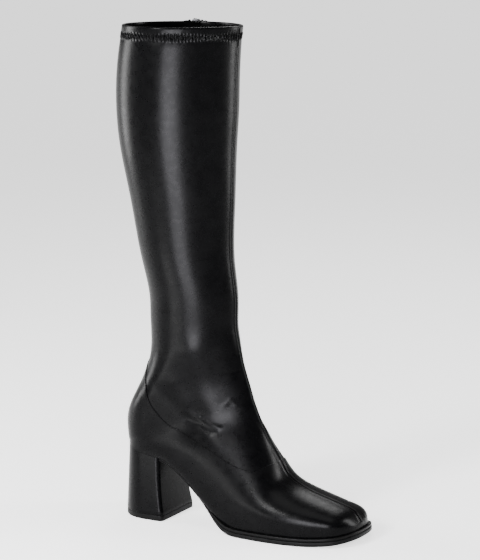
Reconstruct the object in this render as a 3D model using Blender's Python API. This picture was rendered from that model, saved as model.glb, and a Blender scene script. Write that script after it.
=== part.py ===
"""Right go go boot: a stretch upper on a welted sole and a covered block heel, in metres, +Z up.

The toe points along +X and the inner side, where the zip is, faces +Y. Shapes are worked out in the
last's own frame, in which X starts at the back of the heel seat. Every point is then shifted so that
the origin lies on the ground under the middle of the heel's base.
"""

import math
from collections import namedtuple

import bmesh
import bpy
import numpy as np

# Driving sizes of the last and the sole
LAST_LENGTH = 0.245
BALL_WIDTH = 0.080
HEEL_HEIGHT = 0.070
SEAT_FALL = 0.21
BREAST_AT = 0.043
TREAD_START = 0.134
SPRING_START = 0.200
TOE_SPRING = 0.0055
TOE_ROUNDING = 0.020
TOE_SQUARENESS = 2.5
HEEL_ROUNDING = 0.024
OUTSOLE = 0.0042
WELT = 0.0028
WAIST_SOLE = 0.0025
WAIST_START = 0.088
FOREPART_START = 0.124
SOLE_PROUD = 0.0034
WELT_PROUD = 0.0030
WAIST_TUCK = 0.0012
WELT_START = 0.100
WELT_REACH = 0.0052
REAR_REBATE = 0.001
INSOLE = 0.002
INSOLE_CLEAR = 0.0012
GAP = 0.0003

# Driving sizes of the heel
HEEL_BASE_LENGTH = 0.0525
HEEL_BASE_WIDTH = 0.062
HEEL_OVERHANG = 0.0027
HEEL_CORNER = 0.0045
BREAST_HOLLOW = 0.0012
TOP_PIECE = 0.0055

# Driving sizes of the upper
INSTEP_HEIGHT = 0.1055
ANKLE_HEIGHT = 0.198
COLLAR_HEIGHT = 0.475
ANKLE_DEPTH = 0.0885
ANKLE_WIDTH = 0.068
CALF_DEPTH = 0.1195
CALF_WIDTH = 0.107
ANKLE_BACK = 0.0245
WALL = 0.002
HEM_DEPTH = 0.0125
HEM_STEP = 0.0005
HEM_SLOPE = 0.0006
SEAM_STEP = 0.0006
SEAM_SLOPE = 0.0006
SEAM_FADE = 0.028

# Round the heel the wall leaves its lower edge along the heel's own curve, and by LEAN_END upright.
LEAN_END = 0.060
MOST_LEAN = 0.95

# How far the turn from the foot's sections to the heel's is smoothed, and the weights of its mean
HEEL_BLEND = 0.040
HEEL_BLEND_STEP = 0.004
HEEL_BLEND_EDGE = 0.30
HEEL_BLEND_WEIGHTS = [(step, (4 - abs(step)) / 16) for step in range(-3, 4)]

# Driving sizes of the zip
ZIP_WIDTH = 0.0086
ZIP_DEPTH = 0.0010
ZIP_PROUD = 0.0002
ZIP_SHARE = 0.36
ZIP_BOTTOM = 0.098
ZIP_TOP_PROUD = 0.0012
SLIDER_LENGTH = 0.0105
SLIDER_WIDTH = 0.0080
SLIDER_BODY = 0.0024
SLIDER_ABOVE_RIM = 0.0022
SLIDER_NOSE = 0.36
SLIDER_MOUTH = 0.32
SLIDER_SHOULDER = 0.35
SLIDER_CORNER = 0.75
BRIDGE_LENGTH = 0.0062
BRIDGE_WIDTH = 0.0016
BRIDGE_CLEAR = 0.0018
BRIDGE_BAR = 0.0008
PULL_LENGTH = 0.021
PULL_WIDTH = 0.0052
PULL_THICKNESS = 0.0010
PULL_EYE = 0.0044
PULL_CLEAR = 0.0004

# Fineness of the facets
HALF_COLUMNS = 18
ROUNDING_STEPS = 6
FOOT_STEP = 0.0125
SHAFT_STEP = 0.0165
ZIP_ROWS = 26

# Outline of the last's bottom: along is a share of LAST_LENGTH, the rest are shares of BALL_WIDTH.
Outline = namedtuple("Outline", "along centre lateral medial")
OUTLINE = [
    Outline(0.00, 0.000, 0.330, 0.330),
    Outline(0.09, 0.000, 0.330, 0.330),
    Outline(0.18, 0.000, 0.325, 0.315),
    Outline(0.31, 0.000, 0.345, 0.265),
    Outline(0.41, 0.000, 0.390, 0.275),
    Outline(0.51, 0.000, 0.450, 0.350),
    Outline(0.61, 0.006, 0.490, 0.450),
    Outline(0.69, 0.019, 0.505, 0.490),
    Outline(0.78, 0.038, 0.495, 0.485),
    Outline(0.86, 0.062, 0.455, 0.440),
    Outline(0.94, 0.081, 0.398, 0.412),
    Outline(1.00, 0.088, 0.335, 0.380),
]

# Sections of the foot, from the toe back. front_x and under are shares of LAST_LENGTH, front_z of
# INSTEP_HEIGHT, lateral, medial and ridge of BALL_WIDTH, and widest of the section's own height.
Foot = namedtuple("Foot", "front_x front_z under lateral medial widest round ridge")
FOOT = [
    Foot(0.997, 0.177, 1.000, 0.350, 0.345, 0.45, 2.20, 0.085),
    Foot(0.979, 0.239, 0.988, 0.370, 0.365, 0.42, 2.20, 0.085),
    Foot(0.957, 0.276, 0.967, 0.392, 0.380, 0.40, 2.20, 0.080),
    Foot(0.931, 0.300, 0.939, 0.415, 0.397, 0.38, 2.20, 0.075),
    Foot(0.865, 0.348, 0.861, 0.468, 0.457, 0.36, 2.15, 0.060),
    Foot(0.784, 0.405, 0.767, 0.506, 0.506, 0.35, 2.10, 0.048),
    Foot(0.725, 0.464, 0.694, 0.515, 0.512, 0.35, 2.00, 0.042),
    Foot(0.683, 0.545, 0.620, 0.506, 0.487, 0.35, 1.95, 0.040),
    Foot(0.656, 0.652, 0.547, 0.487, 0.450, 0.35, 1.90, 0.038),
    Foot(0.615, 0.800, 0.424, 0.450, 0.412, 0.34, 1.85, 0.038),
    Foot(0.584, 0.929, 0.294, 0.412, 0.394, 0.32, 1.80, 0.038),
    Foot(0.568, 0.989, 0.204, 0.394, 0.387, 0.29, 1.80, 0.038),
    Foot(0.555, 1.062, 0.106, 0.387, 0.387, 0.26, 1.80, 0.038),
    Foot(0.541, 1.137, 0.033, 0.387, 0.387, 0.24, 1.80, 0.038),
]

# Sections round the heel and ankle. front_x and back_x are shares of LAST_LENGTH, front_z and back_z
# of the height from the heel seat to ANKLE_HEIGHT, and width of ANKLE_WIDTH.
Heel = namedtuple("Heel", "front_x front_z back_x back_z width widest")
HEEL_SECTIONS = [
    Heel(0.526, 0.484, -0.0065, 0.095, 0.93, 0.25),
    Heel(0.505, 0.602, -0.0040, 0.240, 0.94, 0.29),
    Heel(0.488, 0.711, 0.0410, 0.430, 0.95, 0.35),
    Heel(0.471, 0.859, 0.0980, 0.690, 0.97, 0.43),
]

# Sections of the shaft. up is the share of the height from ANKLE_HEIGHT to COLLAR_HEIGHT, and swell
# runs from the ankle's depth and width at 0 to the calf's at 1. back_x is a share of CALF_DEPTH.
Shaft = namedtuple("Shaft", "up back_x depth_swell width_swell widest round")
SHAFT = [
    Shaft(0.00, 0.205, 0.00, 0.00, 0.485, 1.75),
    Shaft(0.07, 0.200, 0.02, 0.06, 0.490, 1.72),
    Shaft(0.19, 0.143, 0.105, 0.24, 0.490, 1.70),
    Shaft(0.40, 0.048, 0.47, 0.52, 0.490, 1.70),
    Shaft(0.60, -0.044, 0.88, 0.87, 0.490, 1.70),
    Shaft(0.71, -0.066, 1.02, 0.98, 0.490, 1.70),
    Shaft(0.82, -0.063, 1.03, 1.00, 0.490, 1.70),
    Shaft(0.91, -0.040, 0.98, 0.99, 0.490, 1.70),
    Shaft(1.00, -0.001, 0.90, 0.96, 0.490, 1.70),
]

# Ankle seam seen from the side: along is a share of LAST_LENGTH and height of INSTEP_HEIGHT.
Seam = namedtuple("Seam", "along height")
ANKLE_SEAM = [
    Seam(0.085, 1.520),
    Seam(0.106, 1.430),
    Seam(0.124, 1.310),
    Seam(0.138, 1.200),
    Seam(0.156, 1.100),
    Seam(0.181, 1.025),
    Seam(0.212, 0.952),
    Seam(0.268, 0.884),
    Seam(0.349, 0.805),
    Seam(0.449, 0.702),
    Seam(0.521, 0.624),
    Seam(0.563, 0.598),
    Seam(0.600, 0.592),
    Seam(0.640, 0.632),
    Seam(0.700, 0.680),
]

# Looks: base colour, metallic and roughness
Look = namedtuple("Look", "colour metallic roughness")
LOOKS = {
    "faux_leather": Look((0.012, 0.012, 0.013), 0.0, 0.38),
    "insole_fabric": Look((0.030, 0.030, 0.032), 0.0, 0.85),
    "welt_rubber": Look((0.014, 0.014, 0.014), 0.0, 0.45),
    "sole_rubber": Look((0.010, 0.010, 0.010), 0.0, 0.55),
    "zip_tape": Look((0.010, 0.010, 0.011), 0.0, 0.70),
    "zip_metal": Look((0.035, 0.035, 0.037), 0.9, 0.35),
}

ORIGIN_X = HEEL_BASE_LENGTH / 2 - HEEL_OVERHANG
FOREFOOT_STACK = OUTSOLE + WELT + 2 * GAP
EPS = 1e-5
U_STEP = 2e-4
V_STEP = 2e-3


def spline(places, values):
    """Natural cubic spline through (place, value) pairs, as a function of an array."""
    x = np.asarray(places, float)
    y = np.asarray(values, float)
    h = np.diff(x)
    slope = np.diff(y) / h
    matrix = np.eye(len(x))
    right = np.zeros(len(x))
    for i in range(1, len(x) - 1):
        matrix[i, i - 1] = h[i - 1]
        matrix[i, i] = 2 * (h[i - 1] + h[i])
        matrix[i, i + 1] = h[i]
        right[i] = 6 * (slope[i] - slope[i - 1])
    bend = np.linalg.solve(matrix, right)

    def at(place):
        place = np.clip(np.asarray(place, float), x[0], x[-1])
        k = np.clip(np.searchsorted(x, place) - 1, 0, len(h) - 1)
        a = (x[k + 1] - place) / h[k]
        b = (place - x[k]) / h[k]
        curve = ((a**3 - a) * bend[k] + (b**3 - b) * bend[k + 1]) * h[k] ** 2 / 6
        return a * y[k] + b * y[k + 1] + curve

    return at


def ramp(x, start, end):
    """0 before start, 1 after end, and smooth between them."""
    t = np.clip((np.asarray(x, float) - start) / (end - start), 0, 1)
    return t * t * (3 - 2 * t)


# The sole's side view
def seat_z(x):
    """Height of the last's bottom: a straight heel seat, the arch, the flat tread and the toe spring."""
    x = np.asarray(x, float)
    breast_z = HEEL_HEIGHT - SEAT_FALL * BREAST_AT
    span = TREAD_START - BREAST_AT
    t = np.clip((x - BREAST_AT) / span, 0, 1)
    arch = (
        (2 * t**3 - 3 * t**2 + 1) * breast_z
        - (t**3 - 2 * t**2 + t) * SEAT_FALL * span
        + (3 * t**2 - 2 * t**3) * FOREFOOT_STACK
    )
    spring = np.clip((x - SPRING_START) / (LAST_LENGTH - SPRING_START), 0, None) ** 2 * TOE_SPRING
    return np.where(x < BREAST_AT, HEEL_HEIGHT - SEAT_FALL * x, arch + spring)


def forepart(x):
    return ramp(x, WAIST_START, FOREPART_START)


def pad_z(x):
    """Top of the outsole inside the welt, on which the insole lies."""
    return seat_z(x) - GAP


def rim_z(x):
    """Top of the outsole's rim, which carries the welt."""
    return pad_z(x) - GAP - forepart(x) * WELT


def tread_z(x):
    """Underside of the outsole, which is at 0 along the tread."""
    stack = WAIST_SOLE + GAP + forepart(x) * (FOREFOOT_STACK - WAIST_SOLE - GAP)
    return seat_z(x) - stack


# The sole's plan view
outline_along = [row.along * LAST_LENGTH for row in OUTLINE]
outline_centre = spline(outline_along, [row.centre * BALL_WIDTH for row in OUTLINE])
outline_lateral = spline(outline_along, [row.lateral * BALL_WIDTH for row in OUTLINE])
outline_medial = spline(outline_along, [row.medial * BALL_WIDTH for row in OUTLINE])


def toe_closing(x, grow=0.0):
    """1 along the foot, falling to 0 at the toe's tip as a squarish round does."""
    t = np.clip((x - (LAST_LENGTH - TOE_ROUNDING)) / (TOE_ROUNDING + grow), 0, 1)
    return (1 - t**TOE_SQUARENESS) ** (1 / TOE_SQUARENESS)


def heel_closing(x, grow=0.0):
    """0 at the back of the heel, rising to 1 as a quarter circle does."""
    t = np.clip((HEEL_ROUNDING - x) / (HEEL_ROUNDING + grow), 0, 1)
    return np.sqrt(1 - t**2)


def half_widths(x, grow=0.0):
    """Lateral and medial half widths of the last's bottom at x, with its edge moved out by grow."""
    closing = toe_closing(x, grow) * heel_closing(x, grow)
    return (outline_lateral(x) + grow) * closing, (outline_medial(x) + grow) * closing


def foot_stations():
    """Places along the foot where every piece of the sole and the upper has its facets."""
    turn = np.linspace(0, math.pi / 2, ROUNDING_STEPS + 1)
    heel = HEEL_ROUNDING * (1 - np.sin(turn[1:][::-1]))
    toe = LAST_LENGTH - TOE_ROUNDING * (1 - np.sin(turn))
    marks = [HEEL_ROUNDING, BREAST_AT, TREAD_START, SPRING_START, LAST_LENGTH - TOE_ROUNDING]
    straight = []
    for start, end in zip(marks, marks[1:]):
        steps = max(1, round((end - start) / FOOT_STEP))
        straight += list(np.linspace(start, end, steps + 1)[:-1])
    return np.concatenate([heel, straight, toe])


def toe_shift(x, grow):
    """Moves a station in the toe's rounding out or in with an edge that is moved by grow."""
    start = LAST_LENGTH - TOE_ROUNDING
    return np.where(x > start, start + (x - start) * (1 + grow / TOE_ROUNDING), x)


def heel_shift(x, grow):
    return np.where(x < HEEL_ROUNDING, HEEL_ROUNDING - (HEEL_ROUNDING - x) * (1 + grow / HEEL_ROUNDING), x)


# Solids made of rings: lateral points from the rear to the toe, and medial points back again
def plan_ring(stations, grow, height):
    """A ring of the last's outline grown by grow(x), at height(x). Its ends at zero width are single points."""
    lateral = []
    medial = []
    for station in stations:
        out = float(grow(station))
        x = float(heel_shift(toe_shift(station, out), out))
        left, right = half_widths(x, out)
        middle = float(outline_centre(x))
        z = float(height(x))
        lateral.append((x, middle - float(left), z))
        medial.append((x, middle + float(right), z))
    return lateral, medial


def ring_points(lateral, medial):
    """One closed ring, with the two points of an end of zero width made one."""
    front = abs(lateral[-1][1] - medial[-1][1]) < EPS
    rear = abs(lateral[0][1] - medial[0][1]) < EPS
    back_run = medial[::-1]
    if front:
        back_run = back_run[1:]
    if rear:
        back_run = back_run[:-1]
    return lateral + back_run, front, rear


def ladder(count, front, rear):
    """Faces that close a ring straight across, from each lateral point to its medial one."""
    last = 2 * count - 1 - int(front)

    def across(i):
        if (front and i == count - 1) or (rear and i == 0):
            return i
        return last - i

    faces = []
    for i in range(count - 1):
        corners = [i, i + 1, across(i + 1), across(i)]
        faces.append(tuple(dict.fromkeys(corners)))
    return faces


def ring_solid(rings):
    """Vertices and faces of a solid through rings of (lateral, medial) points, closed at both ends."""
    vertices = []
    faces = []
    for lateral, medial in rings:
        ring, front, rear = ring_points(lateral, medial)
        vertices += ring
    size = len(ring)
    count = len(rings[0][0])
    for k in range(len(rings) - 1):
        low = k * size
        for i in range(size):
            j = (i + 1) % size
            faces.append((low + i, low + j, low + size + j, low + size + i))
    bottom = ladder(count, front, rear)
    top = (len(rings) - 1) * size
    faces += bottom
    faces += [tuple(top + i for i in face) for face in bottom]
    return vertices, faces


# Materials and objects
def material(name):
    found = bpy.data.materials.get(name)
    if found:
        return found
    look = LOOKS[name]
    made = bpy.data.materials.new(name)
    made.use_nodes = True
    shader = made.node_tree.nodes["Principled BSDF"]
    shader.inputs["Base Color"].default_value = (*look.colour, 1.0)
    shader.inputs["Metallic"].default_value = look.metallic
    shader.inputs["Roughness"].default_value = look.roughness
    return made


def add_object(name, mesh, look):
    obj = bpy.data.objects.new(name, mesh)
    obj.location.x = -ORIGIN_X
    mesh.materials.append(material(look))
    bpy.context.scene.collection.objects.link(obj)
    return obj


def finish_mesh(name, bm):
    """A mesh from a bmesh, with its faces turned outwards."""
    bmesh.ops.recalc_face_normals(bm, faces=bm.faces)
    mesh = bpy.data.meshes.new(name)
    bm.to_mesh(mesh)
    bm.free()
    mesh.shade_smooth()
    mesh.set_sharp_from_angle(angle=math.radians(35))
    return mesh


def add_solid(name, vertices, faces, look):
    bm = bmesh.new()
    made = [bm.verts.new(point) for point in vertices]
    for face in faces:
        bm.faces.new([made[i] for i in face])
    return add_object(name, finish_mesh(name, bm), look)


def cut_away(obj, cutter, operation="DIFFERENCE"):
    """A Boolean on obj with a helper that stays out of the render."""
    cutter.hide_render = True
    cutter.display_type = "WIRE"
    boolean = obj.modifiers.new(cutter.name, "BOOLEAN")
    boolean.operation = operation
    boolean.solver = "EXACT"
    boolean.object = cutter


# The upper's surface
class UpperForm:
    """The outside of the upper, from the toe along the foot, round the heel and up the shaft.

    A section runs from a point under or behind the foot to a point on the front ridge. u says which
    section, as a distance along the form. v runs from -1 at the lateral end of a section, over 0 at
    the front ridge, to 1 at its medial end.
    """

    def __init__(self):
        rows = []
        for row in FOOT:
            rows.append((
                row.front_x * LAST_LENGTH,
                row.front_z * INSTEP_HEIGHT,
                -row.under * LAST_LENGTH,
                row.lateral * BALL_WIDTH,
                row.medial * BALL_WIDTH,
                row.widest,
                row.round,
                row.ridge * BALL_WIDTH,
            ))
        ridge = FOOT[-1].ridge * BALL_WIDTH
        back = [(HEEL_HEIGHT, 0.0)]
        rise = ANKLE_HEIGHT - HEEL_HEIGHT
        for row in HEEL_SECTIONS:
            half = row.width * ANKLE_WIDTH / 2
            rows.append((
                row.front_x * LAST_LENGTH,
                HEEL_HEIGHT + row.front_z * rise,
                row.back_z * rise,
                half,
                half,
                row.widest,
                FOOT[-1].round,
                ridge,
            ))
            back.append((HEEL_HEIGHT + row.back_z * rise, row.back_x * LAST_LENGTH))
        for row in SHAFT:
            z = ANKLE_HEIGHT + row.up * (COLLAR_HEIGHT - ANKLE_HEIGHT)
            depth = ANKLE_DEPTH + row.depth_swell * (CALF_DEPTH - ANKLE_DEPTH)
            half = (ANKLE_WIDTH + row.width_swell * (CALF_WIDTH - ANKLE_WIDTH)) / 2
            back_x = ANKLE_BACK + (row.back_x - SHAFT[0].back_x) * CALF_DEPTH
            rows.append((back_x + depth, z, z - HEEL_HEIGHT, half, half, row.widest, row.round, ridge))
            back.append((z, back_x))
        self.back_x = spline([z for z, _ in back], [x for _, x in back])
        table = np.array(rows)
        steps = np.hypot(np.diff(table[:, 0]), np.diff(table[:, 1])) + np.abs(np.diff(table[:, 2]))
        self.places = np.concatenate([[0], np.cumsum(steps / 2)])
        self.columns = [spline(self.places, column) for column in table.T]
        fine = np.linspace(0, self.places[-1], 4000)
        self.fine_u = fine
        self.fine_under = self.columns[2](fine)
        self.heel_u = self.u_of_under(0.0)
        self.top_u = self.places[-1]

    def u_of_under(self, under):
        """The section whose lower end is at this place: minus X under the foot, height above the seat behind it."""
        return np.interp(under, self.fine_under, self.fine_u)

    def ends(self, u):
        """Front and under points, half widths and the other section values at u."""
        front_x, front_z, under, lateral, medial, widest, roundness, ridge = (c(u) for c in self.columns)
        under = np.where(np.abs(u - self.heel_u) < EPS, 0.0, under)
        x = np.maximum(-under, 0)
        up = np.maximum(under, 0)
        behind = np.where(under > 0, self.back_x(HEEL_HEIGHT + up), 0.0)
        closing = toe_closing(x)
        left, right = half_widths(x)
        open_below = under < 0
        return {
            "front": (front_x, front_z),
            "under": (x + behind, seat_z(x) + up),
            "middle": np.where(open_below, outline_centre(x), 0.0),
            "ridge": ridge,
            "bottom": (np.where(open_below, left, 0.0), np.where(open_below, right, 0.0)),
            "widths": (np.maximum(lateral * closing, left), np.maximum(medial * closing, right)),
            "widest": widest,
            "round": roundness,
            "lean": 1 - ramp(x, HEEL_ROUNDING, LEAN_END),
        }

    def points(self, u, v):
        """Points on the form, one row of three numbers for each pair of u and v.

        Where the sections turn from the foot to the back of the heel they would leave a fold, so
        there, away from the lower edge, each point is the mean of its neighbours along the form.
        """
        u, v = np.broadcast_arrays(np.asarray(u, float), np.asarray(v, float))
        near = np.exp(-(((u - self.heel_u) / HEEL_BLEND) ** 2))
        reach = HEEL_BLEND_STEP * near * ramp(1 - np.abs(v), 0, HEEL_BLEND_EDGE)
        total = 0
        for step, weight in HEEL_BLEND_WEIGHTS:
            total = total + weight * self.plain_points(np.clip(u + step * reach, 0, self.top_u), v)
        return total

    def plain_points(self, u, v):
        e = self.ends(u)
        front_x, front_z = e["front"]
        under_x, under_z = e["under"]
        height = np.hypot(front_x - under_x, front_z - under_z)
        lateral = v < 0
        bottom = np.where(lateral, e["bottom"][0], e["bottom"][1])
        widest_half = np.where(lateral, e["widths"][0], e["widths"][1])
        low = e["widest"]
        below = np.hypot(widest_half - bottom, low * height)
        above = np.hypot(widest_half, (1 - low) * height)
        split = below / (below + above)
        phi = 1 - np.abs(v)
        start = np.arcsin(np.clip(bottom / widest_half, 0, MOST_LEAN)) * e["lean"]
        turn_low = start + np.clip(phi / split, 0, 1) * (math.pi / 2 - start)
        rise = (np.sin(turn_low) - np.sin(start)) / (1 - np.sin(start))
        turn_high = np.clip((phi - split) / (1 - split), 0, 1) * math.pi / 2
        n = e["round"]
        reach = (np.cos(turn_high) ** n + np.sin(turn_high) ** n) ** (1 / n)
        is_low = phi < split
        out = np.where(
            is_low,
            bottom + (widest_half - bottom) * rise,
            widest_half * np.cos(turn_high) / reach,
        )
        low_share = low * (np.cos(start) - np.cos(turn_low)) / np.cos(start)
        share = np.where(is_low, low_share, low + (1 - low) * np.sin(turn_high) / reach)
        middle = e["middle"] + (e["ridge"] - e["middle"]) * share
        side = np.where(lateral, -1.0, 1.0)
        x = under_x + (front_x - under_x) * share
        z = under_z + (front_z - under_z) * share
        return np.stack([x, middle + side * out, z], axis=-1)

    def normals(self, u, v):
        """Outward normals, from small steps that stay on the form."""
        u, v = np.broadcast_arrays(np.asarray(u, float), np.asarray(v, float))
        along = self.points(np.minimum(u + U_STEP, self.top_u), v) - self.points(np.maximum(u - U_STEP, 0), v)
        across = self.points(u, np.minimum(v + V_STEP, 1)) - self.points(u, np.maximum(v - V_STEP, -1))
        normal = np.cross(across, along)
        return normal / np.maximum(np.linalg.norm(normal, axis=-1, keepdims=True), EPS**2)

    def v_of_share(self, u, share):
        """The medial v at which each section has risen by this share of its height."""
        grid = np.linspace(0, 1, 201)
        found = []
        for one, wanted in zip(np.atleast_1d(u), np.broadcast_to(share, np.shape(np.atleast_1d(u)))):
            points = self.points(np.full_like(grid, one), grid)
            start, end = points[-1], points[0]
            line = (end - start)[[0, 2]]
            risen = (points - start)[:, [0, 2]] @ line / (line @ line)
            found.append(np.interp(-wanted, -risen, grid))
        return np.array(found)


def hem_lift(z):
    """The turned hem stands a little proud of the shaft."""
    edge = COLLAR_HEIGHT - HEM_DEPTH
    return HEM_STEP * np.clip((z - edge) / HEM_SLOPE, 0, 1)


def upper_rows(form):
    """The sections that get a row of facets, from the toe's tip to the collar."""
    under = [form.u_of_under(-x) for x in foot_stations()[::-1]]
    under[0] = 0.0
    under[-1] = form.heel_u
    shaft_count = round((form.top_u - form.heel_u) / SHAFT_STEP)
    shaft = list(np.linspace(form.heel_u, form.top_u, shaft_count + 1)[1:-1])
    hem = []
    for z in (COLLAR_HEIGHT - HEM_DEPTH, COLLAR_HEIGHT - HEM_DEPTH + HEM_SLOPE):
        hem.append(float(form.u_of_under(z - HEEL_HEIGHT)))
    shaft = [u for u in shaft if min(abs(u - h) for h in hem) > SHAFT_STEP / 3]
    return np.array(under + sorted(shaft + hem) + [form.top_u])


def grid_normals(grid, closed_rows):
    """Outward normals of a grid of points, whose first and last columns meet in the closed rows."""
    along = np.gradient(grid, axis=0)
    across = np.gradient(grid, axis=1)
    meeting = grid[closed_rows, 1] - grid[closed_rows, -2]
    across[closed_rows, 0] = meeting
    across[closed_rows, -1] = meeting
    normal = np.cross(across, along)
    return normal / np.maximum(np.linalg.norm(normal, axis=-1, keepdims=True), EPS**2)


def upper_grid(form, rows, columns):
    """Outer and inner points of the upper's wall on a grid of sections and places round them."""
    u, v = np.meshgrid(rows, columns, indexing="ij")
    surface = form.points(u, v)
    normal = grid_normals(surface, rows >= form.heel_u - EPS)
    outer = surface + normal * hem_lift(surface[..., 2])[..., None]
    inner = surface - normal * WALL
    inner[-1, :, 2] = outer[-1, :, 2]
    tip = int(np.argmin(np.abs(rows)))
    for grid in (outer, inner):
        grid[tip, :, 1] = float(outline_centre(LAST_LENGTH))
    for i, x in enumerate(foot_stations()[::-1]):
        lateral, medial = plan_ring([x], lambda _: -WALL, seat_z)
        inner[i, 0] = lateral[0]
        inner[i, -1] = medial[0]
    return outer, inner


def cut_level(bm, faces, level):
    """Cuts faces along level(point) = 0, so that edges follow that line."""
    near = 1e-5
    value = {}
    for face in faces:
        for vert in face.verts:
            value[vert] = level(vert.co)
    on_line = {vert for vert, found in value.items() if abs(found) < near}
    edges = {edge for face in faces for edge in face.edges}
    for edge in sorted(edges, key=lambda e: e.index):
        a, b = edge.verts
        if a in on_line or b in on_line or value[a] * value[b] > 0:
            continue
        low, high = 0.0, 1.0
        for _ in range(30):
            middle = (low + high) / 2
            if level(a.co.lerp(b.co, middle)) * value[a] > 0:
                low = middle
            else:
                high = middle
        _, made = bmesh.utils.edge_split(edge, a, (low + high) / 2)
        on_line.add(made)
    pieces = []
    for face in faces:
        ends = [vert for vert in face.verts if vert in on_line]
        if len(ends) == 2 and not any(set(edge.verts) == set(ends) for edge in face.edges):
            new_face, _ = bmesh.utils.face_split(face, *ends)
            pieces.append(new_face)
    return faces + pieces


seam_height = spline(
    [row.along * LAST_LENGTH for row in ANKLE_SEAM],
    [row.height * INSTEP_HEIGHT for row in ANKLE_SEAM],
)


def below_seam(point):
    """How far a point lies below the ankle seam, which is drawn in the side view."""
    return float(seam_height(point.x)) - point.z


def raise_foot(bm, faces):
    """Below the ankle seam the foot's panels lie over the shaft: the wall steps out, and the step fades."""
    bm.normal_update()
    raised = []
    for vert in {vert for face in faces for vert in face.verts}:
        depth = below_seam(vert.co) - SEAM_SLOPE
        if depth > -EPS:
            raised.append((vert, vert.normal.copy() * SEAM_STEP * (1 - float(ramp(depth, 0, SEAM_FADE)))))
    for vert, move in raised:
        vert.co += move


def add_upper(form):
    rows = upper_rows(form)
    columns = np.linspace(-1, 1, 2 * HALF_COLUMNS + 1)
    outer, inner = upper_grid(form, rows, columns)
    last_row = len(rows) - 1
    last_column = len(columns) - 1
    heel_row = len(foot_stations()) - 1
    bm = bmesh.new()
    verts = {}

    def vert(surface, i, j):
        if i == 0:
            j = min(j, last_column - j)
        if i >= heel_row and j == last_column:
            j = 0
        key = (surface, i, j)
        if key not in verts:
            grid = outer if surface == "outer" else inner
            verts[key] = bm.verts.new(grid[i, j])
        return verts[key]

    def face(*corners):
        made = list(dict.fromkeys(vert(*corner) for corner in corners))
        return bm.faces.new(made) if len(made) > 2 else None

    outside = []
    for i in range(last_row):
        for j in range(last_column):
            square = [(i, j), (i, j + 1), (i + 1, j + 1), (i + 1, j)]
            outside.append(face(*(("outer", *corner) for corner in square)))
            face(*(("inner", *corner) for corner in reversed(square)))
    for j in range(last_column):
        face(("outer", last_row, j), ("outer", last_row, j + 1), ("inner", last_row, j + 1), ("inner", last_row, j))
    for i in range(heel_row):
        for j in (0, last_column):
            face(("outer", i, j), ("outer", i + 1, j), ("inner", i + 1, j), ("inner", i, j))
    bmesh.ops.recalc_face_normals(bm, faces=bm.faces)
    bm.edges.index_update()
    outside = cut_level(bm, outside, below_seam)
    bm.edges.index_update()
    outside = cut_level(bm, outside, lambda point: below_seam(point) - SEAM_SLOPE)
    raise_foot(bm, outside)
    return add_object("upper", finish_mesh("upper", bm), "faux_leather")


# The sole
def forepart_grow(proud):
    """How far an edge stands out from the last: tucked in at the waist and proud round the forefoot."""
    return lambda x: -WAIST_TUCK + forepart(x) * (proud + WAIST_TUCK)


def add_insole():
    inset = -(WALL + INSOLE_CLEAR)
    stations = foot_stations()
    under = plan_ring(stations, lambda _: inset, seat_z)
    over = plan_ring(stations, lambda _: inset, lambda x: seat_z(x) + INSOLE)
    vertices, faces = ring_solid([under, over])
    return add_solid("insole", vertices, faces, "insole_fabric")


def add_outsole():
    start = BREAST_AT + 2 * GAP
    edge = forepart_grow(SOLE_PROUD)
    beyond = [x for x in foot_stations() if x > start + 3 * REAR_REBATE]
    stations = [start] + beyond
    inner_stations = [start + REAR_REBATE] + beyond

    def pad_edge(_):
        return -WELT_REACH - GAP

    rings = [
        plan_ring(stations, edge, tread_z),
        plan_ring(stations, edge, rim_z),
        plan_ring(inner_stations, pad_edge, rim_z),
        plan_ring(inner_stations, pad_edge, pad_z),
    ]
    vertices, faces = ring_solid(rings)
    return add_solid("outsole", vertices, faces, "sole_rubber")


def add_welt():
    stations = [WELT_START] + [x for x in foot_stations() if x > WELT_START + FOOT_STEP / 4]
    outer = forepart_grow(WELT_PROUD)
    corners = [
        plan_ring(stations, outer, lambda x: rim_z(x) + GAP),
        plan_ring(stations, outer, pad_z),
        plan_ring(stations, lambda _: -WELT_REACH, pad_z),
        plan_ring(stations, lambda _: -WELT_REACH, lambda x: rim_z(x) + GAP),
    ]
    vertices = []
    for lateral, medial in corners:
        vertices += lateral + medial[::-1][1:]
    size = 2 * len(stations) - 1
    faces = []
    for k in range(4):
        low = k * size
        high = (k + 1) % 4 * size
        for i in range(size - 1):
            faces.append((low + i, low + i + 1, high + i + 1, high + i))
    faces.append(tuple(k * size for k in range(4)))
    faces.append(tuple(k * size + size - 1 for k in range(4)))
    return add_solid("welt", vertices, faces, "welt_rubber")


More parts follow.
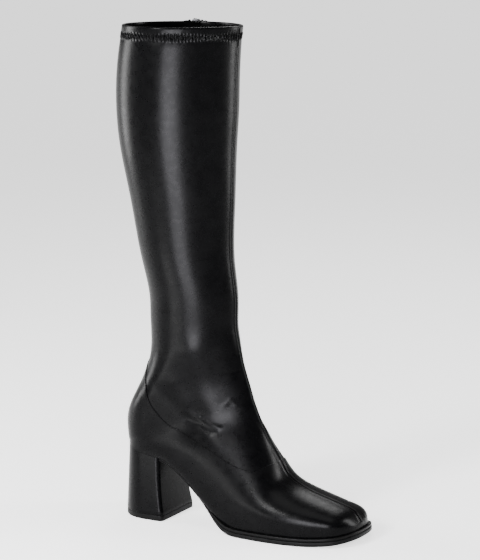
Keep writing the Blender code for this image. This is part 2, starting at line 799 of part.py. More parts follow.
# The heel
def heel_section(share):
    """Half outline of the heel, from its breast to its back, with share 0 at the base and 1 at the seat."""
    turn = np.linspace(0, math.pi / 2, ROUNDING_STEPS + 1)
    base_back = -HEEL_OVERHANG
    base_front = base_back + HEEL_BASE_LENGTH
    radius = HEEL_BASE_WIDTH / 2
    base = [(base_back + radius * (1 - math.sin(a)), radius * math.cos(a)) for a in turn[::-1]]
    seat = []
    for a in turn[::-1]:
        x = HEEL_ROUNDING * (1 - math.sin(a))
        seat.append((x, sum(half_widths(x)) / 2))
    for side in (0.5, 1.0):
        x = base[ROUNDING_STEPS][0]
        x += (base_front - HEEL_CORNER - x) * side
        base.append((x, radius))
        x = HEEL_ROUNDING + (BREAST_AT - HEEL_CORNER - HEEL_ROUNDING) * side
        seat.append((x, sum(half_widths(x)) / 2))
    for a in (math.pi / 4, math.pi / 2):
        into = HEEL_CORNER * (1 - math.sin(a))
        off = HEEL_CORNER * (1 - math.cos(a))
        base.append((base_front - into, radius - off))
        seat.append((BREAST_AT - into, sum(half_widths(BREAST_AT)) / 2 - off))
    hollow = BREAST_HOLLOW * 4 * share * (1 - share)
    ring = []
    for (bx, bw), (sx, sw) in zip(base, seat):
        forward = max(bx, 0) / base_front
        x = bx + (sx - bx) * share - hollow * forward**4
        ring.append((x, float(bw + (sw - bw) * share), sx))
    return ring


def heel_ring(share, height):
    """A ring of the heel at a share of its height, with height(seat_x) giving each point's Z."""
    section = heel_section(share)
    lateral = [(x, -w, float(height(seat_x))) for x, w, seat_x in section]
    medial = [(x, w, float(height(seat_x))) for x, w, seat_x in section]
    return lateral, medial


def add_heel():
    foot = TOP_PIECE + GAP
    rings = []
    for share in (0.0, 0.25, 0.5, 0.75, 1.0):
        rings.append(heel_ring(share, lambda x, s=share: foot + s * (pad_z(x) - foot)))
    vertices, faces = ring_solid(rings)
    return add_solid("heel", vertices, faces, "faux_leather")


def add_top_piece():
    rings = [heel_ring(0.0, lambda _: 0.0), heel_ring(0.0, lambda _: TOP_PIECE)]
    vertices, faces = ring_solid(rings)
    return add_solid("heel_top_piece", vertices, faces, "sole_rubber")


# The zip
def zip_rows(form):
    bottom = form.u_of_under(0.0)
    grid = np.linspace(bottom, form.top_u, 400)
    middles = form.points(grid, form.v_of_share(grid, ZIP_SHARE))
    start = np.interp(ZIP_BOTTOM, middles[:, 2], grid)
    return np.linspace(start, form.top_u, ZIP_ROWS)


def zip_strip(form, rows, width, low, high, above, below):
    """A strip along the zip's line, from the level low to high over the wall, longer than rows by above and below."""
    levels = []
    for side in (-0.5, 0.0, 0.5):
        ends = form.ends(rows)
        height = np.hypot(ends["front"][0] - ends["under"][0], ends["front"][1] - ends["under"][1])
        v = form.v_of_share(rows, ZIP_SHARE + side * width / height)
        middle = form.points(rows, v)
        normal = form.normals(rows, v)
        for lift in (low, high):
            line = middle + normal * lift
            line[-1] = line[-1] + (line[-1] - line[-2]) / np.linalg.norm(line[-1] - line[-2]) * above
            line[0] = line[0] - (line[1] - line[0]) / np.linalg.norm(line[1] - line[0]) * below
            levels.append(line)
    order = [0, 2, 4, 5, 3, 1]
    vertices = []
    faces = []
    for i in range(len(rows)):
        vertices += [tuple(levels[k][i]) for k in order]
    for i in range(len(rows) - 1):
        for k in range(6):
            a = i * 6 + k
            b = i * 6 + (k + 1) % 6
            faces.append((a, b, b + 6, a + 6))
    faces.append((0, 1, 4, 5))
    faces.append((1, 2, 3, 4))
    top = (len(rows) - 1) * 6
    faces.append((top, top + 1, top + 4, top + 5))
    faces.append((top + 1, top + 2, top + 3, top + 4))
    return vertices, faces


def add_zip(form, upper):
    rows = zip_rows(form)
    channel = zip_strip(form, rows, ZIP_WIDTH + 2 * GAP, -ZIP_DEPTH, WALL, 2 * WALL, GAP)
    cutter = add_solid("zip_channel_cutter", *channel, "zip_tape")
    cut_away(upper, cutter)
    chain = zip_strip(form, rows, ZIP_WIDTH, -ZIP_DEPTH + GAP, ZIP_PROUD, ZIP_TOP_PROUD, 0.0)
    add_solid("zip_chain", *chain, "zip_tape")
    return zip_frame(form, rows)


def zip_frame(form, rows):
    """Origin on the wall at the slider's middle, and the directions up the zip, outward and across."""
    top = form.points(rows[-1], form.v_of_share(rows[-1], ZIP_SHARE)[0])
    low = form.points(rows[-2], form.v_of_share(rows[-2], ZIP_SHARE)[0])
    upward = (top - low) / np.linalg.norm(top - low)
    normal = form.normals(rows[-1], form.v_of_share(rows[-1], ZIP_SHARE)[0])
    normal = normal - upward * (normal @ upward)
    normal /= np.linalg.norm(normal)
    across = np.cross(upward, normal)
    origin = top + upward * (SLIDER_ABOVE_RIM - SLIDER_LENGTH / 2)
    return origin, across, upward, normal


def add_slider(frame):
    """Slider body with its bridge, through which the pull's bar passes."""
    origin, a, b, c = frame
    seat = ZIP_PROUD + GAP
    face = seat + SLIDER_BODY
    half = SLIDER_LENGTH / 2
    side = SLIDER_WIDTH / 2
    nose = SLIDER_WIDTH * SLIDER_NOSE
    mouth = SLIDER_WIDTH * SLIDER_MOUTH
    shoulder = half * SLIDER_SHOULDER
    corner = half * SLIDER_CORNER
    outline = [(-nose, -half), (nose, -half), (side, shoulder), (side, corner)]
    outline += [(mouth, half), (-mouth, half), (-side, corner), (-side, shoulder)]
    vertices = []
    for level in (seat, face):
        vertices += [tuple(origin + a * i + b * j + c * level) for i, j in outline]
    count = len(outline)
    faces = [tuple(range(count)), tuple(range(count, 2 * count))]
    faces += [(i, (i + 1) % count, count + (i + 1) % count, count + i) for i in range(count)]
    slider = add_solid("zip_slider", vertices, faces, "zip_metal")

    long_half = BRIDGE_LENGTH / 2
    top = face + BRIDGE_CLEAR + BRIDGE_BAR
    sunk = face - SLIDER_BODY / 2
    arch = [(-long_half, sunk), (-long_half, top - BRIDGE_BAR), (-long_half + BRIDGE_BAR, top)]
    arch += [(long_half - BRIDGE_BAR, top), (long_half, top - BRIDGE_BAR), (long_half, sunk)]
    arch += [(long_half - BRIDGE_BAR, sunk), (long_half - BRIDGE_BAR, top - BRIDGE_BAR)]
    arch += [(-long_half + BRIDGE_BAR, top - BRIDGE_BAR), (-long_half + BRIDGE_BAR, sunk)]
    vertices = []
    for side in (-BRIDGE_WIDTH / 2, BRIDGE_WIDTH / 2):
        vertices += [tuple(origin + a * side + b * j + c * k) for j, k in arch]
    count = len(arch)
    faces = []
    for low in (0, count):
        faces += [(low, low + 1, low + 8, low + 9), (low + 1, low + 2, low + 3, low + 4, low + 7, low + 8)]
        faces.append((low + 4, low + 5, low + 6, low + 7))
    faces += [(i, (i + 1) % count, count + (i + 1) % count, count + i) for i in range(count)]
    bridge = add_solid("zip_bridge_union", vertices, faces, "zip_metal")
    cut_away(slider, bridge, "UNION")


def add_pull(frame):
    """Pull tab hanging from the bridge, with its origin on its joint's axis."""
    origin, a, b, c = frame
    bar_level = ZIP_PROUD + GAP + SLIDER_BODY + BRIDGE_CLEAR / 2
    axis = origin + c * bar_level
    half_bar = PULL_THICKNESS / 2
    eye_half = BRIDGE_WIDTH / 2 + PULL_CLEAR
    arm_half = eye_half + PULL_THICKNESS
    half = PULL_WIDTH / 2
    eye_end = -half_bar - PULL_EYE
    rim = [(-arm_half, half_bar), (arm_half, half_bar), (arm_half, eye_end), (half, eye_end - PULL_THICKNESS)]
    rim += [(half, -PULL_LENGTH + half), (half * 0.5, -PULL_LENGTH), (-half * 0.5, -PULL_LENGTH)]
    rim += [(-half, -PULL_LENGTH + half), (-half, eye_end - PULL_THICKNESS), (-arm_half, eye_end)]
    hole = [(-eye_half, -half_bar), (eye_half, -half_bar), (eye_half, eye_end), (-eye_half, eye_end)]
    count = len(rim) + len(hole)
    vertices = []
    for level in (-half_bar, half_bar):
        vertices += [tuple(a * i + b * j + c * level) for i, j in rim + hole]
    flat = [(0, 1, 11, 10), (1, 2, 12, 11), (0, 10, 13, 9), (2, 3, 8, 9, 13, 12), (3, 4, 7, 8), (4, 5, 6, 7)]
    faces = flat + [tuple(count + i for i in face) for face in flat]
    for first, size in ((0, len(rim)), (len(rim), len(hole))):
        for i in range(size):
            p = first + i
            q = first + (i + 1) % size
            faces.append((p, q, count + q, count + p))
    pull = add_solid("zip_pull", vertices, faces, "zip_metal")
    pull.location = (axis[0] - ORIGIN_X, axis[1], axis[2])
    return pull


def main():
    for old in list(bpy.data.objects):
        bpy.data.objects.remove(old, do_unlink=True)
    form = UpperForm()
    upper = add_upper(form)
    add_insole()
    add_outsole()
    add_welt()
    add_heel()
    add_top_piece()
    frame = add_zip(form, upper)
    add_slider(frame)
    add_pull(frame)


main()
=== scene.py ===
"""Looks of the right go go boot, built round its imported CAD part. Metres, +Z up, toe along +X.

The form of the last and of the upper is worked out here as in the part's source, in the last's own
frame, so that every modelled piece lies on its solid. Creases, seams, stitches and finishes are added.
Points are shifted to the row frame when a mesh is made.
"""

import math
from collections import namedtuple

import bmesh
import bpy
import numpy as np
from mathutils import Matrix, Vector, noise


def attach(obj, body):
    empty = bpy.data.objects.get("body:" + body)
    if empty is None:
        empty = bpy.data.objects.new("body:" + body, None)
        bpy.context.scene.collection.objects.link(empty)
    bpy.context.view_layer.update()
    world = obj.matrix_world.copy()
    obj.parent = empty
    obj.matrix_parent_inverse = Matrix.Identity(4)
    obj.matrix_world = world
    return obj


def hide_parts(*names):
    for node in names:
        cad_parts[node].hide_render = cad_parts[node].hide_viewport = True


# Sizes of the last, the sole and the heel, as in the part
LAST_LENGTH = 0.245
BALL_WIDTH = 0.080
HEEL_HEIGHT = 0.070
SEAT_FALL = 0.21
BREAST_AT = 0.043
TREAD_START = 0.134
SPRING_START = 0.200
TOE_SPRING = 0.0055
TOE_ROUNDING = 0.020
TOE_SQUARENESS = 2.5
HEEL_ROUNDING = 0.024
OUTSOLE = 0.0042
WELT = 0.0028
WAIST_SOLE = 0.0025
WAIST_START = 0.088
FOREPART_START = 0.124
SOLE_PROUD = 0.0034
WELT_PROUD = 0.0030
WAIST_TUCK = 0.0012
WELT_START = 0.100
WELT_REACH = 0.0052
REAR_REBATE = 0.001
INSOLE = 0.002
INSOLE_CLEAR = 0.0012
GAP = 0.0003
HEEL_BASE_LENGTH = 0.0525
HEEL_BASE_WIDTH = 0.062
HEEL_OVERHANG = 0.0027
HEEL_CORNER = 0.0045
BREAST_HOLLOW = 0.0012
TOP_PIECE = 0.0055

# Sizes of the upper, as in the part
INSTEP_HEIGHT = 0.1055
ANKLE_HEIGHT = 0.198
COLLAR_HEIGHT = 0.475
ANKLE_DEPTH = 0.0885
ANKLE_WIDTH = 0.068
CALF_DEPTH = 0.1195
CALF_WIDTH = 0.107
ANKLE_BACK = 0.0245
WALL = 0.002
HEM_DEPTH = 0.0125
HEM_STEP = 0.0005
SEAM_STEP = 0.0006
SEAM_SLOPE = 0.0006
SEAM_FADE = 0.028
LEAN_END = 0.060
MOST_LEAN = 0.95
HEEL_BLEND = 0.040
HEEL_BLEND_STEP = 0.004
HEEL_BLEND_EDGE = 0.30
HEEL_BLEND_WEIGHTS = [(step, (4 - abs(step)) / 16) for step in range(-3, 4)]

# Sizes of the zip, as in the part
ZIP_WIDTH = 0.0086
ZIP_DEPTH = 0.0010
ZIP_SHARE = 0.36
ZIP_BOTTOM = 0.098
SLIDER_LENGTH = 0.0105

# Fineness of the modelled pieces
COLUMNS = 108
COLUMN_CROWDING = 0.6
ROUNDING_STEPS = 18
FOOT_STEP = 0.0022
ANKLE_STEP = 0.0016
ANKLE_SPAN = 0.125
SHAFT_STEP = 0.0030
RIM_STEPS = 6
INNER_ROWS = 3
INNER_COLUMNS = 4
LINING_ROWS = 4
LINING_SHAFT_ROWS = 60
RING_SAMPLES = 721
ZIP_SAMPLES = 60
SEAM_SAMPLES = 240
SEAM_ROW = 0.002
EDGE_STEPS = 4
HEEL_SIDE_STEPS = 5
HEEL_CORNER_STEPS = 5
HEEL_ROWS = 16
SHARP_ANGLE = 38
FLAT_ANGLE = 1
BEVEL_ANGLE = 20
BEVEL_STEPS = 3
FORM_SAMPLES = 4000
SHARE_SAMPLES = 201
CUT_STEPS = 30
ZIP_COLUMNS = (3, 4, 6, 8)

# The skin: the facing folded inside the collar, the lining and the rounded rim
SKIN = 0.0015
LINING_GAP = 0.0001
FACING = 0.016
FACING_SLOPE = 0.0012
RIM_RADIUS = (WALL + HEM_STEP) / 2

# Seams: a groove of this depth and half width, between swells at a distance from it
Groove = namedtuple("Groove", "depth groove swell swell_at swell_width")
FRONT_SEAM = Groove(0.0006, 0.0007, 0.00035, 0.0022, 0.0012)
BACK_SEAM = Groove(0.0004, 0.0007, 0.0002, 0.0020, 0.0012)
SEAM_EASE = 0.010
SEAM_NEAR = 0.008
SEAM_REACH = 0.100
SEAM_STITCH_BELOW = 0.0016
SEAM_PITCH = 0.0028
SEAM_STITCH = 0.0021
SEAM_THREAD = 0.00024

# The hem's zigzag
ZIGZAG_BELOW = 0.0096
ZIGZAG_TALL = 0.0046
ZIGZAG_PITCH = 0.0040
ZIGZAG_APART = 0.0024
ZIGZAG_COUNT = 88
HEM_THREAD = 0.00038
HEM_EASE = 0.0015
HEM_ROW = 0.0010
PUCKER_DEPTH = 0.0006
PUCKER_RIPPLE = 0.5
THREAD_STEPS = 4
THREAD_SIDES = 5
THREAD_RISE = 0.9
THREAD_SUNK = 0.5
THREAD_TIP = 0.45

# The zip's channel edges as distances from its middle: floor, wall, lip and flat
ZIP_EDGES = (ZIP_WIDTH / 2 + GAP, ZIP_WIDTH / 2 + 2 * GAP, ZIP_WIDTH / 2 + 0.0018, ZIP_WIDTH / 2 + 0.0040)
ZIP_EASE = 0.030
ZIP_CLEAR = 0.0075
LIP_AT = ZIP_WIDTH / 2 + 0.0012
LIP_WIDTH = 0.0010
LIP_LIFT = 0.0005
TAPE_ROWS = 160
TAPE_LEVEL = -0.0003
TAPE_CORD_AT = 0.0031
TAPE_CORD = 0.0004
TOOTH_PITCH = 0.0022
TOOTH_REACH = 0.0021
TOOTH_OVER = 0.0005
TOOTH_RADIUS = 0.00036
SLIDER_BEVEL = 0.0003
PULL_BEVEL = 0.0002

# Rounded edges of the sole and the heel
SOLE_EDGE = 0.0010
WELT_EDGE = 0.0007
HEEL_EDGE = 0.0004
TOP_PIECE_EDGE = 0.0005

# Gathered ends of the zip's lips over the rim, by their distance from the zip's middle
Lump = namedtuple("Lump", "at width height")
LUMP_FROM = 0.004
LUMPS = (
    Lump(-0.0095, 0.0016, 0.0008),
    Lump(-0.0062, 0.0013, 0.0016),
    Lump(0.0062, 0.0013, 0.0018),
    Lump(0.0098, 0.0016, 0.0010),
)

# Slow waves in the leather
WAVE_SIZE = (0.060, 0.060, 0.110)
WAVE_LIFT = 0.0005
WAVE_FROM = 0.085
WAVE_FULL = 0.150

# Creases in the side view. A path's places are shares of LAST_LENGTH along and of INSTEP_HEIGHT up.
Crease = namedtuple("Crease", "side width lift path")
CREASE_FADE = 0.05
CREASES = (
    Crease("outer", 0.0020, 0.0005, ((0.290, 1.062), (0.351, 0.997), (0.401, 0.949), (0.440, 0.925))),
    Crease("outer", 0.0034, -0.0005, ((0.310, 0.985), (0.365, 0.930), (0.415, 0.890))),
    Crease("outer", 0.0060, -0.0004, ((0.330, 1.090), (0.390, 1.020), (0.450, 0.985))),
    Crease("outer", 0.0090, 0.0007, ((0.375, 0.880), (0.435, 0.790))),
    Crease("outer", 0.0080, 0.0009, ((0.262, 1.300), (0.300, 1.130))),
    Crease("outer", 0.0016, -0.0002, ((0.440, 1.411), (0.485, 1.428))),
    Crease("outer", 0.0018, 0.0002, ((0.448, 1.123), (0.468, 1.178), (0.490, 1.134))),
    Crease("outer", 0.0140, 0.0016, ((0.340, 1.600), (0.370, 1.250), (0.410, 1.000))),
    Crease("outer", 0.0050, -0.0004, ((0.180, 1.250), (0.240, 1.140), (0.300, 1.020))),
    Crease("inner", 0.0022, 0.0005, ((0.285, 1.110), (0.340, 1.030), (0.410, 0.985))),
    Crease("inner", 0.0036, -0.0005, ((0.300, 1.030), (0.360, 0.950), (0.420, 0.915))),
    Crease("inner", 0.0085, 0.0007, ((0.360, 0.890), (0.430, 0.800))),
    Crease("inner", 0.0080, 0.0008, ((0.300, 1.360), (0.345, 1.200))),
    Crease("inner", 0.0140, 0.0012, ((0.350, 1.560), (0.380, 1.200), (0.415, 1.010))),
)

# Camera, solved from the photo
CAMERA_AZIMUTH = 29.0
CAMERA_PITCH = 10.29
CAMERA_DISTANCE = 1.9311
CAMERA_TARGET = (0.11415, -0.0342, 0.245)
SENSOR = 36.0
FOCAL = 134.9

# Studio
FLOOR_SIZE = 60.0
FLOOR_COLOUR = (0.45, 0.45, 0.45)
FLOOR_ROUGHNESS = 0.75
FLOOR_SHINE = 0.2
FLOOR_GLOW = 1.5
WORLD_COLOUR = (1.0, 1.0, 1.0)
WORLD_STRENGTH = 0.30
Softbox = namedtuple("Softbox", "azimuth distance height aim width tall power colour")
SOFTBOXES = {
    "key": Softbox(13, 0.80, 0.22, 0.22, 0.31, 0.39, 21, (0.95, 0.94, 1.0)),
    "low": Softbox(-24, 0.55, 0.05, 0.04, 0.30, 0.08, 1.5, (1.0, 1.0, 1.0)),
    "ankle": Softbox(-17, 1.0, 0.80, 0.10, 0.20, 0.26, 34, (1.0, 1.0, 1.0)),
    "left": Softbox(-84, 1.0, 0.52, 0.40, 0.30, 0.90, 19, (1.0, 1.0, 1.0)),
    "right": Softbox(121, 1.2, 0.58, 0.40, 0.25, 0.95, 28, (1.0, 1.0, 1.0)),
    "inner": Softbox(195, 1.3, 1.50, 0.20, 0.70, 0.70, 24, (1.0, 1.0, 1.0)),
    "top": Softbox(20, 0.35, 2.2, 0.10, 1.2, 1.2, 22, (1.0, 1.0, 1.0)),
}
AIM_SHARE = 0.5

# Colours of the leather, and the range of a noise texture that matters
LEATHER_DARK = (0.0004, 0.0004, 0.0005)
LEATHER_LIGHT = (0.0009, 0.0009, 0.0010)
NOISE_LOW = 0.3
NOISE_HIGH = 0.7
WEAVE_DISTORTION = 0.6

# Outline of the last's bottom: along is a share of LAST_LENGTH, the rest are shares of BALL_WIDTH.
Outline = namedtuple("Outline", "along centre lateral medial")
OUTLINE = [
    Outline(0.00, 0.000, 0.330, 0.330),
    Outline(0.09, 0.000, 0.330, 0.330),
    Outline(0.18, 0.000, 0.325, 0.315),
    Outline(0.31, 0.000, 0.345, 0.265),
    Outline(0.41, 0.000, 0.390, 0.275),
    Outline(0.51, 0.000, 0.450, 0.350),
    Outline(0.61, 0.006, 0.490, 0.450),
    Outline(0.69, 0.019, 0.505, 0.490),
    Outline(0.78, 0.038, 0.495, 0.485),
    Outline(0.86, 0.062, 0.455, 0.440),
    Outline(0.94, 0.081, 0.398, 0.412),
    Outline(1.00, 0.088, 0.335, 0.380),
]

# Sections of the foot, as shares of LAST_LENGTH, INSTEP_HEIGHT, BALL_WIDTH and the section's height
Foot = namedtuple("Foot", "front_x front_z under lateral medial widest round ridge")
FOOT = [
    Foot(0.997, 0.177, 1.000, 0.350, 0.345, 0.45, 2.20, 0.085),
    Foot(0.979, 0.239, 0.988, 0.370, 0.365, 0.42, 2.20, 0.085),
    Foot(0.957, 0.276, 0.967, 0.392, 0.380, 0.40, 2.20, 0.080),
    Foot(0.931, 0.300, 0.939, 0.415, 0.397, 0.38, 2.20, 0.075),
    Foot(0.865, 0.348, 0.861, 0.468, 0.457, 0.36, 2.15, 0.060),
    Foot(0.784, 0.405, 0.767, 0.506, 0.506, 0.35, 2.10, 0.048),
    Foot(0.725, 0.464, 0.694, 0.515, 0.512, 0.35, 2.00, 0.042),
    Foot(0.683, 0.545, 0.620, 0.506, 0.487, 0.35, 1.95, 0.040),
    Foot(0.656, 0.652, 0.547, 0.487, 0.450, 0.35, 1.90, 0.038),
    Foot(0.615, 0.800, 0.424, 0.450, 0.412, 0.34, 1.85, 0.038),
    Foot(0.584, 0.929, 0.294, 0.412, 0.394, 0.32, 1.80, 0.038),
    Foot(0.568, 0.989, 0.204, 0.394, 0.387, 0.29, 1.80, 0.038),
    Foot(0.555, 1.062, 0.106, 0.387, 0.387, 0.26, 1.80, 0.038),
    Foot(0.541, 1.137, 0.033, 0.387, 0.387, 0.24, 1.80, 0.038),
]

# Sections round the heel and ankle, as shares of LAST_LENGTH, the rise to the ankle and ANKLE_WIDTH
Heel = namedtuple("Heel", "front_x front_z back_x back_z width widest")
HEEL_SECTIONS = [
    Heel(0.526, 0.484, -0.0065, 0.095, 0.93, 0.25),
    Heel(0.505, 0.602, -0.0040, 0.240, 0.94, 0.29),
    Heel(0.488, 0.711, 0.0410, 0.430, 0.95, 0.35),
    Heel(0.471, 0.859, 0.0980, 0.690, 0.97, 0.43),
]

# Sections of the shaft: up is a share of its height, and swell runs from the ankle's size to the calf's
Shaft = namedtuple("Shaft", "up back_x depth_swell width_swell widest round")
SHAFT = [
    Shaft(0.00, 0.205, 0.00, 0.00, 0.485, 1.75),
    Shaft(0.07, 0.200, 0.02, 0.06, 0.490, 1.72),
    Shaft(0.19, 0.143, 0.105, 0.24, 0.490, 1.70),
    Shaft(0.40, 0.048, 0.47, 0.52, 0.490, 1.70),
    Shaft(0.60, -0.044, 0.88, 0.87, 0.490, 1.70),
    Shaft(0.71, -0.066, 1.02, 0.98, 0.490, 1.70),
    Shaft(0.82, -0.063, 1.03, 1.00, 0.490, 1.70),
    Shaft(0.91, -0.040, 0.98, 0.99, 0.490, 1.70),
    Shaft(1.00, -0.001, 0.90, 0.96, 0.490, 1.70),
]

# Ankle seam seen from the side: shares of LAST_LENGTH and INSTEP_HEIGHT
Seam = namedtuple("Seam", "along height")
ANKLE_SEAM = [
    Seam(0.085, 1.520),
    Seam(0.106, 1.430),
    Seam(0.124, 1.310),
    Seam(0.138, 1.200),
    Seam(0.156, 1.100),
    Seam(0.181, 1.025),
    Seam(0.212, 0.952),
    Seam(0.268, 0.884),
    Seam(0.349, 0.805),
    Seam(0.449, 0.702),
    Seam(0.521, 0.624),
    Seam(0.563, 0.598),
    Seam(0.600, 0.592),
    Seam(0.640, 0.632),
    Seam(0.700, 0.680),
]

ORIGIN_X = HEEL_BASE_LENGTH / 2 - HEEL_OVERHANG
FOREFOOT_STACK = OUTSOLE + WELT + 2 * GAP
EPS = 1e-5
U_STEP = 2e-4
V_STEP = 2e-3


def spline(places, values):
    """Natural cubic spline through (place, value) pairs, as a function of an array."""
    x = np.asarray(places, float)
    y = np.asarray(values, float)
    h = np.diff(x)
    slope = np.diff(y) / h
    matrix = np.eye(len(x))
    right = np.zeros(len(x))
    for i in range(1, len(x) - 1):
        matrix[i, i - 1] = h[i - 1]
        matrix[i, i] = 2 * (h[i - 1] + h[i])
        matrix[i, i + 1] = h[i]
        right[i] = 6 * (slope[i] - slope[i - 1])
    bend = np.linalg.solve(matrix, right)

    def at(place):
        place = np.clip(np.asarray(place, float), x[0], x[-1])
        k = np.clip(np.searchsorted(x, place) - 1, 0, len(h) - 1)
        a = (x[k + 1] - place) / h[k]
        b = (place - x[k]) / h[k]
        curve = ((a**3 - a) * bend[k] + (b**3 - b) * bend[k + 1]) * h[k] ** 2 / 6
        return a * y[k] + b * y[k + 1] + curve

    return at


def ramp(x, start, end):
    """0 before start, 1 after end, and smooth between them."""
    t = np.clip((np.asarray(x, float) - start) / (end - start), 0, 1)
    return t * t * (3 - 2 * t)


def seat_z(x):
    """Height of the last's bottom: a straight heel seat, the arch, the flat tread and the toe spring."""
    x = np.asarray(x, float)
    breast_z = HEEL_HEIGHT - SEAT_FALL * BREAST_AT
    span = TREAD_START - BREAST_AT
    t = np.clip((x - BREAST_AT) / span, 0, 1)
    arch = (
        (2 * t**3 - 3 * t**2 + 1) * breast_z
        - (t**3 - 2 * t**2 + t) * SEAT_FALL * span
        + (3 * t**2 - 2 * t**3) * FOREFOOT_STACK
    )
    spring = np.clip((x - SPRING_START) / (LAST_LENGTH - SPRING_START), 0, None) ** 2 * TOE_SPRING
    return np.where(x < BREAST_AT, HEEL_HEIGHT - SEAT_FALL * x, arch + spring)


def forepart(x):
    return ramp(x, WAIST_START, FOREPART_START)


def pad_z(x):
    """Top of the outsole inside the welt, on which the insole lies."""
    return seat_z(x) - GAP


def rim_z(x):
    """Top of the outsole's rim, which carries the welt."""
    return pad_z(x) - GAP - forepart(x) * WELT


def tread_z(x):
    """Underside of the outsole, which is at 0 along the tread."""
    stack = WAIST_SOLE + GAP + forepart(x) * (FOREFOOT_STACK - WAIST_SOLE - GAP)
    return seat_z(x) - stack


outline_along = [row.along * LAST_LENGTH for row in OUTLINE]
outline_centre = spline(outline_along, [row.centre * BALL_WIDTH for row in OUTLINE])
outline_lateral = spline(outline_along, [row.lateral * BALL_WIDTH for row in OUTLINE])
outline_medial = spline(outline_along, [row.medial * BALL_WIDTH for row in OUTLINE])


def toe_closing(x, grow=0.0):
    """1 along the foot, falling to 0 at the toe's tip as a squarish round does."""
    t = np.clip((x - (LAST_LENGTH - TOE_ROUNDING)) / (TOE_ROUNDING + grow), 0, 1)
    return (1 - t**TOE_SQUARENESS) ** (1 / TOE_SQUARENESS)


def heel_closing(x, grow=0.0):
    """0 at the back of the heel, rising to 1 as a quarter circle does."""
    t = np.clip((HEEL_ROUNDING - x) / (HEEL_ROUNDING + grow), 0, 1)
    return np.sqrt(1 - t**2)


def half_widths(x, grow=0.0):
    """Lateral and medial half widths of the last's bottom at x, with its edge moved out by grow."""
    closing = toe_closing(x, grow) * heel_closing(x, grow)
    return (outline_lateral(x) + grow) * closing, (outline_medial(x) + grow) * closing


def foot_stations():
    """Places along the foot where every piece of the sole and the upper has its facets."""
    turn = np.linspace(0, math.pi / 2, ROUNDING_STEPS + 1)
    heel = HEEL_ROUNDING * (1 - np.sin(turn[1:][::-1]))
    toe = LAST_LENGTH - TOE_ROUNDING * (1 - np.sin(turn))
    marks = [HEEL_ROUNDING, BREAST_AT, TREAD_START, SPRING_START, LAST_LENGTH - TOE_ROUNDING]
    straight = []
    for start, end in zip(marks, marks[1:]):
        steps = max(1, round((end - start) / FOOT_STEP))
        straight += list(np.linspace(start, end, steps + 1)[:-1])
    return np.concatenate([heel, straight, toe])


def toe_shift(x, grow):
    """Moves a station in the toe's rounding out or in with an edge that is moved by grow."""
    start = LAST_LENGTH - TOE_ROUNDING
    return np.where(x > start, start + (x - start) * (1 + grow / TOE_ROUNDING), x)


def heel_shift(x, grow):
    return np.where(x < HEEL_ROUNDING, HEEL_ROUNDING - (HEEL_ROUNDING - x) * (1 + grow / HEEL_ROUNDING), x)


def plan_ring(stations, grow, height):
    """A ring of the last's outline grown by grow(x), at height(x)."""
    lateral = []
    medial = []
    for station in stations:
        out = float(grow(station))
        x = float(heel_shift(toe_shift(station, out), out))
        left, right = half_widths(x, out)
        middle = float(outline_centre(x))
        z = float(height(x))
        lateral.append((x, middle - float(left), z))
        medial.append((x, middle + float(right), z))
    return lateral, medial


def ring_points(lateral, medial):
    """One closed ring, with the two points of an end of zero width made one."""
    front = abs(lateral[-1][1] - medial[-1][1]) < EPS
    rear = abs(lateral[0][1] - medial[0][1]) < EPS
    back_run = medial[::-1]
    if front:
        back_run = back_run[1:]
    if rear:
        back_run = back_run[:-1]
    return lateral + back_run, front, rear


def ladder(count, front, rear):
    """Faces that close a ring straight across, from each lateral point to its medial one."""
    last = 2 * count - 1 - int(front)

    def across(i):
        if (front and i == count - 1) or (rear and i == 0):
            return i
        return last - i

    faces = []
    for i in range(count - 1):
        corners = [i, i + 1, across(i + 1), across(i)]
        faces.append(tuple(dict.fromkeys(corners)))
    return faces


def ring_solid(rings):
    """Vertices and faces of a solid through rings of (lateral, medial) points, closed at both ends."""
    vertices = []
    faces = []
    for lateral, medial in rings:
        ring, front, rear = ring_points(lateral, medial)
        vertices += ring
    size = len(ring)
    count = len(rings[0][0])
    for k in range(len(rings) - 1):
        low = k * size
        for i in range(size):
            j = (i + 1) % size
            faces.append((low + i, low + j, low + size + j, low + size + i))
    bottom = ladder(count, front, rear)
    top = (len(rings) - 1) * size
    faces += bottom
    faces += [tuple(top + i for i in face) for face in bottom]
    return vertices, faces


def forepart_grow(proud):
    """How far an edge stands out from the last: tucked in at the waist and proud round the forefoot."""
    return lambda x: -WAIST_TUCK + forepart(x) * (proud + WAIST_TUCK)


